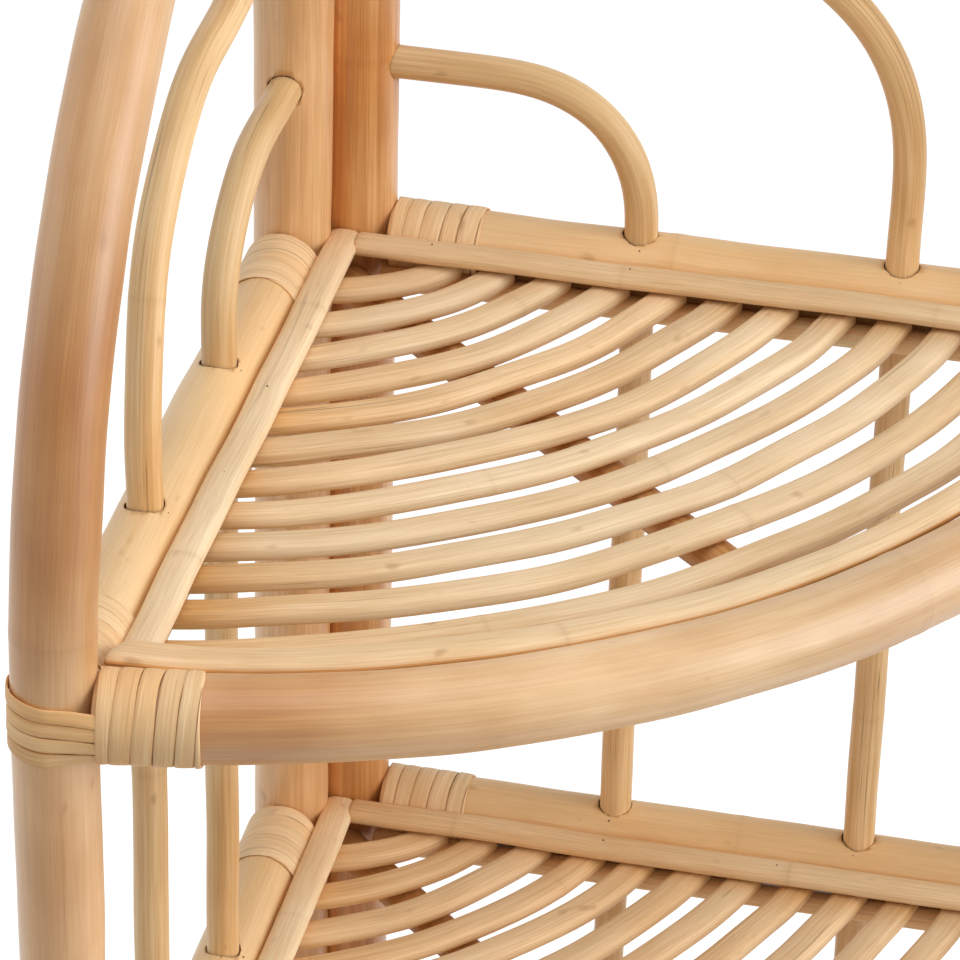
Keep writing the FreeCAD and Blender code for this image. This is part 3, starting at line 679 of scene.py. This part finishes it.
def cut_cane():
    """The sawn end of a cane, with its open pores."""
    tree = Tree("cut_cane")
    grain = tree.attribute("grain")
    pores = tree.add("ShaderNodeTexVoronoi")
    tree.fill(pores.inputs["Vector"], tree.stretched(grain, (1, 1, 0.02)))
    pores.inputs["Scale"].default_value = 900
    pore = tree.ranged(pores.outputs["Distance"], 0.18, 0.34, 1.0, 0.0)
    cloud = tree.noise(grain, (160, 160, 10))
    colour = tree.mix(cloud, srgb(214, 168, 112), srgb(186, 134, 80))
    tree.links.new(tree.mix(pore, colour, srgb(112, 74, 38)), tree.shader.inputs["Base Color"])
    tree.shader.inputs["Roughness"].default_value = 0.8
    tree.bump(pore, 0.5, 0.4 * MM, invert=True)
    return tree.material


def drilled_wood():
    """The raw inner wall of a drilled hole."""
    tree = Tree("drilled_wood")
    coordinates = tree.add("ShaderNodeTexCoord").outputs["Object"]
    ring = tree.noise(coordinates, (600, 600, 600))
    colour = tree.mix(ring, srgb(92, 58, 30), srgb(140, 96, 56))
    tree.links.new(colour, tree.shader.inputs["Base Color"])
    tree.shader.inputs["Roughness"].default_value = 0.85
    return tree.material


def dark_steel():
    """Brad and screw heads: darkened steel with fine scratches."""
    tree = Tree("dark_steel")
    coordinates = tree.add("ShaderNodeTexCoord").outputs["Object"]
    scratch = tree.noise(coordinates, (2200, 300, 900), 3.0)
    colour = tree.mix(scratch, srgb(84, 74, 62), srgb(128, 116, 100))
    tree.links.new(colour, tree.shader.inputs["Base Color"])
    tree.shader.inputs["Metallic"].default_value = 1.0
    tree.fill(tree.shader.inputs["Roughness"], tree.ranged(scratch, 0.3, 0.7, 0.35, 0.6))
    return tree.material


POLE = rattan("rattan_pole", srgb(236, 199, 150), srgb(206, 140, 71),
              fibres=0.2, lines=0.34, streaks=0.42, clouds=0.75, cracks=0.2, gloss=0.75)
RAIL = rattan("rattan_rail", srgb(251, 220, 171), srgb(243, 188, 120),
              fibres=0.22, lines=0.16, streaks=0.2, clouds=0.3, cracks=0.12, gloss=0.25)
CANE = rattan("rattan_cane", srgb(249, 216, 164), srgb(210, 152, 84),
              fibres=0.28, lines=0.5, streaks=0.64, clouds=0.36, cracks=0.55, gloss=0.2)
SLAT = rattan("rattan_slat", srgb(248, 226, 189), srgb(230, 179, 116),
              fibres=0.46, lines=0.36, streaks=0.26, clouds=0.36, cracks=0.4, gloss=0.08)
BROWN = rattan("rattan_brown", srgb(216, 160, 100), srgb(174, 120, 68),
               fibres=0.2, lines=0.4, streaks=0.5, clouds=0.4, cracks=0.5, gloss=0.05)
PEEL = rattan("rattan_peel", srgb(249, 221, 178), srgb(233, 180, 118),
              fibres=0.44, lines=0.4, streaks=0.3, clouds=0.3, cracks=0.3, gloss=0.06)
CUT = cut_cane()
DRILLED = drilled_wood()
STEEL = dark_steel()


# Pieces
def mesh_object(name, shape, material, ends):
    """A mesh with one material on its sides and another on the fans over its ends, its only triangles."""
    mesh = bpy.data.meshes.new(name)
    quads, tris = shape["quads"], shape["tris"]
    corners = np.concatenate([quads.ravel(), tris.ravel()]).astype(np.int32)
    tri_starts = quads.size + np.arange(len(tris)) * 3
    starts = np.concatenate([np.arange(len(quads)) * 4, tri_starts]).astype(np.int32)
    mesh.vertices.add(len(shape["verts"]))
    mesh.loops.add(len(corners))
    mesh.polygons.add(len(starts))
    mesh.vertices.foreach_set("co", shape["verts"].astype(np.float32).ravel())
    mesh.loops.foreach_set("vertex_index", corners)
    mesh.polygons.foreach_set("loop_start", starts)
    mesh.update(calc_edges=True)
    for key in ("grain", "shade"):
        layer = mesh.attributes.new(key, "FLOAT_VECTOR", "CORNER")
        layer.data.foreach_set("vector", shape[key][corners].astype(np.float32).ravel())
    mesh.shade_smooth()
    mesh.materials.append(material)
    mesh.materials.append(ends)
    mesh.polygons.foreach_set("material_index", np.repeat((0, 1), (len(quads), len(tris))).astype(np.int32))
    thing = bpy.data.objects.new(name, mesh)
    bpy.context.scene.collection.objects.link(thing)
    return thing


def piece(name, shape, material, slot, *nodes, ends=CUT):
    """A piece of the shelf that stands for its CAD nodes."""
    thing = mesh_object(name, shape, material, ends)
    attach(thing, "root")
    if nodes:
        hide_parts(*nodes)
    return thing


BORE_SIDES = 40
BORE_CHIPS = (-0.02, 0.05)
BORE_EDGE = 0.05 * MM


def ragged_bore(name, path, radius):
    """A drilled bore whose wall is chipped a little."""
    bore = cane(name, path, radius, sides=BORE_SIDES, bend=0, edge=BORE_EDGE, joints=NO_JOINTS)
    start, end = bore["verts"][-2:]
    axis = (end - start) / np.linalg.norm(end - start)
    spokes = bore["verts"] - (start + end) / 2
    spokes = spokes - np.outer(spokes @ axis, axis)
    chips = draws(name).uniform(*BORE_CHIPS, BORE_SIDES)
    bore["verts"] = bore["verts"] + spokes * np.resize(chips, len(spokes))[:, None]
    return bore


def drill(thing, holes):
    """Cuts round holes, each a start, a direction, a radius and a depth, into a piece."""
    tools = []
    for i, (start, direction, radius, depth) in enumerate(holes):
        path = run(start - direction * depth, start + direction * depth, depth)
        tools.append(ragged_bore(f"{thing.name}_hole_{i}", path, radius))
    tool = mesh_object(f"{thing.name}_drill", joined(tools), DRILLED, DRILLED)
    cut = thing.modifiers.new("holes", "BOOLEAN")
    cut.operation = "DIFFERENCE"
    cut.solver = "EXACT"
    cut.material_mode = "TRANSFER"
    cut.object = tool
    graph = bpy.context.evaluated_depsgraph_get()
    drilled = bpy.data.meshes.new_from_object(thing.evaluated_get(graph))
    thing.modifiers.remove(cut)
    thing.data = drilled
    bpy.data.objects.remove(tool)


def rises(places, base=0.0):
    """A function of the share of a cane's length: a base with smooth rises.

    Each rise is a place, a height, which may be below 0, and a width.
    """
    def value(share):
        return base + sum(height * np.exp(-((share - at) / width) ** 2) for at, height, width in places)
    return value


# Side frames
POST_WARMTH = {"left": 0.10, "right": 0.52}
POST_TONE = {"left": 1.12, "right": 1.03}
POST_STREAK = {"left": 1.1, "right": 1.6}
ARCH_WARMTH = rises([(0.735, 0.5, 0.055), (0.35, 0.25, 0.05)], 0.1)
ARCH_TONE = rises([(0.735, -0.22, 0.055), (0.85, -0.08, 0.04), (0.35, -0.06, 0.05)], 1.04)
HOOP_TONE = {"small_hoop": 0.9, "large_hoop": 1.03}


def back_post(side):
    path = run(spot(side, POST_AT, 0, 0), spot(side, POST_AT, 0, POST_TOP))
    shape = cane(f"{side}_back_post", path, POST_R, sides=56, edge=POST_BEVEL, bend=0.2 * MM, joints=0.31,
                 warm=POST_WARMTH[side], tone=POST_TONE[side], streak=POST_STREAK[side])
    post = piece(f"{side}_back_post_cane", shape, POLE, "rattan_pole", f"{side}_back_post")
    out = SIDES[side]
    holes = []
    for top in HOOP_TOPS.values():
        start = spot(side, POST_AT + POST_R, 0, top) - out * SOCKET_DEPTH / 2
        holes.append((start, out, CANE_R + HOLE_SLACK / 2, SOCKET_DEPTH))
    drill(post, holes)


def arch_pole(side):
    path = bent_path(side, REACH, 0, ARCH_TOP, BENDS["arch"], POST_AT + POST_R * ARCH_BUTT)
    shape = cane(f"{side}_arch_pole", path, POST_R, sides=56, bend=0.25 * MM, joints=0.33,
                 tone=ARCH_TONE, warm=ARCH_WARMTH, streak=0.6)
    piece(f"{side}_arch_pole_cane", shape, POLE, "rattan_pole", f"{side}_arch_pole")


def hoops(side):
    foot = LEVELS[-1] + RAIL_R - SOCKET_DEPTH
    inner_end = POST_AT + POST_R - SOCKET_DEPTH + HOOP_CLEAR
    for kind, along in HOOPS_ALONG.items():
        path = bent_path(side, along, foot, HOOP_TOPS[kind], BENDS[kind], inner_end)
        shape = cane(f"{side}_{kind}", path, CANE_R, sides=36, bend=0.6 * MM, tone=HOOP_TONE[kind])
        piece(f"{side}_{kind}_cane", shape, CANE, "rattan_cane", f"{side}_{kind}")


def spindles(side):
    for bay in range(TIERS - 1):
        low = LEVELS[bay] + RAIL_R - SOCKET_DEPTH + SPINDLE_CLEAR
        high = LEVELS[bay + 1] - RAIL_R + SOCKET_DEPTH - SPINDLE_CLEAR
        name = f"bay{bay + 1}_{side}_spindles"
        canes = []
        for kind, along in HOOPS_ALONG.items():
            path = run(spot(side, along, 0, low), spot(side, along, 0, high))
            canes.append(cane(f"{name}_{kind}", path, CANE_R, sides=36))
        piece(f"{name}_canes", joined(canes), CANE, "rattan_cane", name)


# Shelves, with painted shade in the seams under the trims and on the slats, and the tones of the shelves
# from the lowest up
# Painted shade on each rail's inner side, just below its middle, under the trim and over the ledger
RAIL_PAINTED_SHADE = {"left": (math.radians(-98), 0.13, 1.45), "right": (math.radians(98), 0.13, 1.45)}
RAIL_WARMTH = {"left": 0.0, "right": 0.2}
RAIL_HOLE_SLIPS = (0.1 * MM, 0.45 * MM)
# The dip near the right end, at 0.85, is painted shade that tones down the highlight there
FRONT_RAIL_TONE = rises([(0.1, -0.13, 0.07), (0.56, -0.22, 0.13), (0.85, -0.05, 0.08)], 1.05)
FRONT_RAIL_WARMTH = rises([(0.1, 0.42, 0.07), (0.85, 0.15, 0.08)])
SHELF_WARMTH = (0.25, 0.25, 0.25, 0.0)
# Painted light: the trims of the three lower shelves made lighter against the shade of the shelf above
SHELF_TRIM_PAINTED_LIGHT = (1.06, 1.06, 1.06, 1.0)
TRIM_TONE = {"left": 1.04, "right": 0.95}
TRIM_WARMTH = {"left": -0.1, "right": 0.2}
FRONT_TRIM_TONE = rises([(0.5, -0.05, 0.12)], 1.04)
# Painted shadow: a dark line along the front trim's side where it meets the rail
FRONT_TRIM_PAINTED_SHADE = (math.radians(97), 0.05, 1.45)
# Painted shade: the slats' undersides made browner
SLAT_UNDERSIDE_SHADE = (math.pi, 0.6, 0.9)
SLAT_TONES, SLAT_WARMTHS, SLAT_STREAKS = (0.93, 1.03), (-0.15, 0.14), (0.6, 1.5)
SLAT_SIZES = (0.96, 1.03)
# Painted shade: each slat darker and browner near its ends, where they lie under the trims
SLAT_END_SHADE_TONE = [(0, -0.2, 0.05), (0, 0.05, 0.22), (1, -0.2, 0.05)]
SLAT_END_SHADE_WARMTH = [(0, 0.5, 0.05), (0, 0.25, 0.22), (1, 0.5, 0.05)]


def side_rail(tier, side):
    name = f"tier{tier + 1}_{side}_rail"
    z = LEVELS[tier]
    path = run(spot(side, POST_AT + POST_R * BUTT, 0, z), spot(side, REACH - POST_R * BUTT, 0, z))
    shape = cane(name, path, RAIL_R, sides=56, bend=0.25 * MM, joints=0.4, tone=0.96, warm=RAIL_WARMTH[side],
                 shade_band=RAIL_PAINTED_SHADE[side])
    rail = piece(f"{name}_cane", shape, RAIL, "rattan_rail", name)
    rng = draws(f"{name}_holes")
    holes = []
    for along in HOOPS_ALONG.values():
        slip = rng.uniform(*RAIL_HOLE_SLIPS)
        centre = spot(side, along - slip, -slip, z)
        holes.append((centre + UP * RAIL_R, UP, CANE_R + HOLE_SLACK, SOCKET_DEPTH))
        if tier > 0:
            holes.append((centre - UP * RAIL_R, UP, CANE_R + HOLE_SLACK, SOCKET_DEPTH))
    drill(rail, holes)


def front_rail(tier):
    name = f"tier{tier + 1}_front_rail"
    path = bowed_path(FRONT_BEND, FRONT_CENTRE, POST_R * BUTT, LEVELS[tier])
    shape = cane(name, path, FRONT_R, sides=56, bend=0.3 * MM, joints=0.36,
                 tone=FRONT_RAIL_TONE, warm=FRONT_RAIL_WARMTH, streak=0.8)
    piece(f"{name}_cane", shape, POLE, "rattan_pole", name)


def side_trim_level(tier):
    return LEVELS[tier] + TRIM_LEVEL - SIDE_TRIM_DROP


def side_trim(tier, side):
    """A flattened cane over the slats' ends. The right one butts on the left one."""
    name = f"tier{tier + 1}_{side}_trim"
    z = side_trim_level(tier)
    beside_trim = TRIM_R * TRIM_SECTION["wide"] - TRIM_SUNK
    start = POST_R + TRIM_OFF_POST if side == "left" else TRIM_IN + beside_trim
    end = arc_at_side(FRONT_TRIM_BEND, FRONT_CENTRE, TRIM_IN) - beside_trim
    path = run(spot(side, start, TRIM_IN, z), spot(side, end, TRIM_IN, z))
    shape = cane(name, path, TRIM_R, sides=36, edge=1.0 * MM, joints=0.16, mark=0.08, streak=0.6,
                 tone=TRIM_TONE[side] * SHELF_TRIM_PAINTED_LIGHT[tier], warm=TRIM_WARMTH[side], **TRIM_SECTION)
    piece(f"{name}_cane", shape, SLAT, "rattan_slat", name)


def ledger(tier, side):
    """A round cane under the slats' ends."""
    name = f"tier{tier + 1}_{side}_ledger"
    z = LEVELS[tier] + LEDGER_LEVEL
    path = run(spot(side, LEDGER_START, LEDGER_IN, z), spot(side, REACH - LEDGER_STOP, LEDGER_IN, z))
    shape = cane(name, path, LEDGER_R, sides=28, bend=0.15 * MM, tone=1.18, warm=0.3)
    piece(f"{name}_cane", shape, SLAT, "rattan_slat", name)


def front_trim(tier):
    """A flattened cane on the front rail's inner shoulder, whose slanted ends ride over the bindings."""
    name = f"tier{tier + 1}_front_trim"
    level = LEVELS[tier] + TRIM_LEVEL - FRONT_TRIM_DROP
    flat = bowed_path(FRONT_TRIM_BEND, FRONT_CENTRE, FRONT_TRIM_START, level)
    path = []
    for i, point in enumerate(flat):
        from_end = min(i, len(flat) - 1 - i) * STEP
        path.append(point + UP * FRONT_TRIM_RISE * math.exp(-(from_end / FRONT_TRIM_RISE_LENGTH) ** 2))
    shape = cane(name, path, TRIM_R, sides=36, edge=1.6 * MM, joints=0.19, mark=0.08, streak=0.7,
                 tone=FRONT_TRIM_TONE, warm=SHELF_WARMTH[tier], shade_band=FRONT_TRIM_PAINTED_SHADE, slant=FRONT_TRIM_SLANT,
                 **TRIM_SECTION)
    piece(f"{name}_cane", shape, SLAT, "rattan_slat", name)


def slat_path(i, z, slip):
    """An arc from rail to rail, bowed more towards the front, whose left end may lean along the rail."""
    last_slat = arc_at_side(FRONT_TRIM_BEND, FRONT_CENTRE, TRIM_IN) - LAST_SLAT_GAP
    pitch = (last_slat - FIRST_SLAT) / (SLATS - 1)
    at_rail = FIRST_SLAT + i * pitch + slip
    half_span = (at_rail - TRIM_IN) / math.sqrt(2)
    bow = half_span * (FIRST_BOW + (LAST_BOW - FIRST_BOW) * i / (SLATS - 1))
    bend = (half_span ** 2 + bow ** 2) / (2 * bow)
    centre = ((at_rail + TRIM_IN) / math.sqrt(2) + bow - bend) / math.sqrt(2)
    path = bowed_path(bend, centre, RAIL_R + SLAT_OFF_RAIL, z)
    lean = LEFT_LEANS.get(i, 0)
    return [point - SIDES["left"] * lean * (1 - j / (len(path) - 1)) for j, point in enumerate(path)]


def slats(tier):
    name = f"tier{tier + 1}_slats"
    rng = draws(name)
    canes = []
    for i in range(SLATS):
        z = LEVELS[tier] + SLAT_LEVEL - SLAT_R * (1 - SLAT_SECTION["tall"]) - rng.uniform(0, 1) * SLAT_SINK
        path = slat_path(i, z, rng.uniform(-1, 1) * SLAT_SLIP)
        tone = rises(SLAT_END_SHADE_TONE, rng.uniform(*SLAT_TONES))
        warm = rises(SLAT_END_SHADE_WARMTH, rng.uniform(*SLAT_WARMTHS) + SHELF_WARMTH[tier])
        radius = SLAT_R * rng.uniform(*SLAT_SIZES)
        streak = rng.uniform(*SLAT_STREAKS)
        canes.append(cane(f"{name}_{i}", path, radius, sides=28, bend=0.8 * MM, joints=0.3, tone=tone,
                          warm=warm, streak=streak, shade_band=SLAT_UNDERSIDE_SHADE, **SLAT_SECTION))
    piece(f"{name}_canes", joined(canes), SLAT, "rattan_slat", name)


def cross_bearer(tier):
    """A wide cane under the slats, from the corner to the front rail, a little right of the diagonal."""
    name = f"tier{tier + 1}_cross_bearer"
    level = CORNER + UP * (LEVELS[tier] + BEARER_LEVEL)
    beside = UP.cross(DIAGONAL)
    start, end = (level + DIAGONAL * reach + beside * lean
                  for reach, lean in zip((BEARER_START, BEARER_END), BEARER_LEANS))
    shape = cane(name, run(start, end), BEARER_R, wide=BEARER_WIDE)
    piece(f"{name}_cane", shape, BROWN, "rattan_slat", name)


# Brads: their heads, and where they are
BRAD_R = 0.42 * MM
BRAD_SIDES = 10
BRAD_DOME = ((0.0, 1.0), (0.6, 0.9), (0.9, 0.5))
BRAD_SUNK = 0.2 * MM
BRAD_TILT = math.radians(38)
TRIM_BRADS = np.arange(60, 310, 75) * MM
TRIM_BRAD_SLIP, RAIL_BRAD_SLIP = 9 * MM, 1.5 * MM


def brad(centre, out):
    """A brad's head: a low dome on a surface that faces a direction."""
    turns = np.arange(BRAD_SIDES) * 2 * np.pi / BRAD_SIDES
    across = np.array(out.orthogonal().normalized())
    base, way = np.array(centre), np.array(out)
    beside = np.cross(way, across)
    circle = (np.cos(turns)[:, None] * across + np.sin(turns)[:, None] * beside) * BRAD_R
    rings = np.array([base + circle * size + way * height * BRAD_R for height, size in BRAD_DOME])
    flat = np.zeros_like(rings)
    return skin(rings, flat, flat, rings[0].mean(axis=0), rings[-1].mean(axis=0))


def brads(tier):
    """Brads down through the side trims, and through the rails into the feet of the spindles."""
    rng = draws(f"tier{tier + 1}_brads")
    shapes = []
    for side in SIDES:
        for along in TRIM_BRADS:
            slip = rng.uniform(-1, 1) * TRIM_BRAD_SLIP
            place_on = spot(side, along + slip, TRIM_IN, side_trim_level(tier))
            shapes.append(brad(place_on + UP * (TRIM_R * TRIM_SECTION["tall"] - BRAD_SUNK), UP))
        for along in HOOPS_ALONG.values():
            slip = rng.uniform(-1, 1) * RAIL_BRAD_SLIP
            out = Matrix.Rotation(BRAD_TILT, 3, UP.cross(INWARD[side])) @ UP
            place_on = spot(side, along + slip, 0, LEVELS[tier])
            shapes.append(brad(place_on + out * (RAIL_R - BRAD_SUNK), out))
    piece(f"tier{tier + 1}_brads", joined(shapes), STEEL, "steel_screw", ends=STEEL)


RAIL_END_TONE, RAIL_END_WARMTH = 1.06, 0.22


def bindings(tier):
    name = f"tier{tier + 1}_bindings"
    level = UP * LEVELS[tier]
    shapes = []
    for side, out in SIDES.items():
        hand = 1 if side == "left" else -1
        start = spot(side, POST_AT + WRAP_OFF, 0, 0) + level
        shapes.append(wrap(f"{name}_{side}_back", start, out, RAIL_R, hand))
        start = spot(side, REACH - WRAP_OFF, 0, 0) + level
        shapes.append(wrap(f"{name}_{side}_front", start, out * -1, RAIL_R, -hand, TIGHT_GAPS, FLUSH))
        centre, along = front_frame(side, WRAP_OFF + WRAP_LENGTH / 2)
        start = centre - along * WRAP_LENGTH / 2 + level
        shapes.append(wrap(f"{name}_{side}_rail_end", start, along, FRONT_WRAP_R, -hand,
                           tone=RAIL_END_TONE, warm=RAIL_END_WARMTH))
        shapes.append(lash(f"{name}_{side}_pole", side, LEVELS[tier]))
    piece(f"{name}_peel", joined(shapes), PEEL, "rattan_peel", name)


def arch_bindings():
    shapes = [wrap(f"{side}_arch_wrap", spot(side, POST_AT + WRAP_OFF, 0, ARCH_TOP), out, POST_R)
              for side, out in SIDES.items()]
    piece("arch_bindings_peel", joined(shapes), PEEL, "rattan_peel", "arch_bindings")


for side in SIDES:
    back_post(side)
    arch_pole(side)
    hoops(side)
    spindles(side)
for tier in range(TIERS):
    for side in SIDES:
        side_rail(tier, side)
    front_rail(tier)
    for side in SIDES:
        side_trim(tier, side)
        ledger(tier, side)
    front_trim(tier)
    slats(tier)
    cross_bearer(tier)
    bindings(tier)
    brads(tier)
arch_bindings()
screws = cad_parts["frame_screws"]
screws.data.materials.clear()
screws.data.materials.append(STEEL)

# Stage
FLOOR_COLOUR = (0.55, 0.54, 0.53, 1)
FLOOR_GLOW = 0.75
WORLD_LIGHT = 0.355
SHELF_MIDDLE = (0, 0, 0.9)


def stage_floor():
    """A pale floor that the camera sees as white, with the shelf's soft shadow."""
    bpy.ops.mesh.primitive_plane_add(size=60)
    floor = bpy.context.object
    floor.name = "floor"
    tree = Tree("floor")
    tree.shader.inputs["Base Color"].default_value = FLOOR_COLOUR
    tree.shader.inputs["Roughness"].default_value = 0.9
    glow = tree.add("ShaderNodeEmission")
    glow.inputs["Strength"].default_value = FLOOR_GLOW
    both = tree.add("ShaderNodeAddShader")
    tree.links.new(tree.shader.outputs[0], both.inputs[0])
    tree.links.new(glow.outputs[0], both.inputs[1])
    path = tree.add("ShaderNodeLightPath")
    seen = tree.math("MAXIMUM", path.outputs["Is Camera Ray"], path.outputs["Is Glossy Ray"])
    choice = tree.add("ShaderNodeMixShader")
    tree.links.new(seen, choice.inputs[0])
    tree.links.new(tree.shader.outputs[0], choice.inputs[1])
    tree.links.new(both.outputs[0], choice.inputs[2])
    tree.links.new(choice.outputs[0], tree.output.inputs["Surface"])
    floor.data.materials.append(tree.material)


def stage_world():
    """An even soft light from all round, white where it is seen or mirrored."""
    world = bpy.data.worlds.new("studio")
    bpy.context.scene.world = world
    world.use_nodes = True
    nodes, links = world.node_tree.nodes, world.node_tree.links
    background = nodes["Background"]
    background.inputs["Color"].default_value = (1, 1, 1, 1)
    path = nodes.new("ShaderNodeLightPath")
    seen = path.outputs["Is Camera Ray"]
    for ray in ("Is Glossy Ray", "Is Transmission Ray"):
        either = nodes.new("ShaderNodeMath")
        either.operation = "MAXIMUM"
        links.new(seen, either.inputs[0])
        links.new(path.outputs[ray], either.inputs[1])
        seen = either.outputs[0]
    strength = nodes.new("ShaderNodeMapRange")
    strength.inputs["To Min"].default_value = WORLD_LIGHT
    strength.inputs["To Max"].default_value = 1.0
    links.new(seen, strength.inputs["Value"])
    links.new(strength.outputs[0], background.inputs["Strength"])


def lamp(name, location, target, size, watts):
    """A round soft lamp that points at a target and isn't seen itself."""
    data = bpy.data.lights.new(name, "AREA")
    data.shape = "DISK"
    data.size = size
    data.energy = watts
    light = bpy.data.objects.new(name, data)
    light.location = location
    light.rotation_mode = "QUATERNION"
    light.rotation_quaternion = (Vector(target) - Vector(location)).to_track_quat("-Z", "Y")
    light.visible_camera = False
    bpy.context.scene.collection.objects.link(light)


stage_floor()
stage_world()
lamp("above", (0, -0.5, 3.3), SHELF_MIDDLE, size=2.2, watts=20)
lamp("left", (-2.2, -0.6, 1.6), SHELF_MIDDLE, size=1.8, watts=7.5)
lamp("right", (2.2, -0.15, 1.65), SHELF_MIDDLE, size=2.0, watts=43)

# Camera, at the photograph's viewing angle in degrees
CAMERA_AT = (0.2313, -1.4766, 1.8478)
CAMERA_AZIMUTH, CAMERA_ELEVATION, CAMERA_ROLL = 11.41, 31.70, 1.47
LENS = 184.8
SENSOR = 36


def camera():
    data = bpy.data.cameras.new("camera")
    data.lens = LENS
    data.sensor_width = SENSOR
    data.clip_start, data.clip_end = 0.05, 100
    view = bpy.data.objects.new("camera", data)
    bpy.context.scene.collection.objects.link(view)
    turn, tip = math.radians(CAMERA_AZIMUTH), math.radians(CAMERA_ELEVATION)
    forward = Vector((-math.sin(turn) * math.cos(tip), math.cos(turn) * math.cos(tip), -math.sin(tip)))
    level = forward.cross(UP).normalized()
    roll = math.radians(CAMERA_ROLL)
    right = level * math.cos(roll) + level.cross(forward) * math.sin(roll)
    above = right.cross(forward)
    view.matrix_world = Matrix((right, above, -forward)).transposed().to_4x4()
    view.location = CAMERA_AT
    bpy.context.scene.camera = view


camera()
bpy.context.scene.view_settings.view_transform = "Standard"
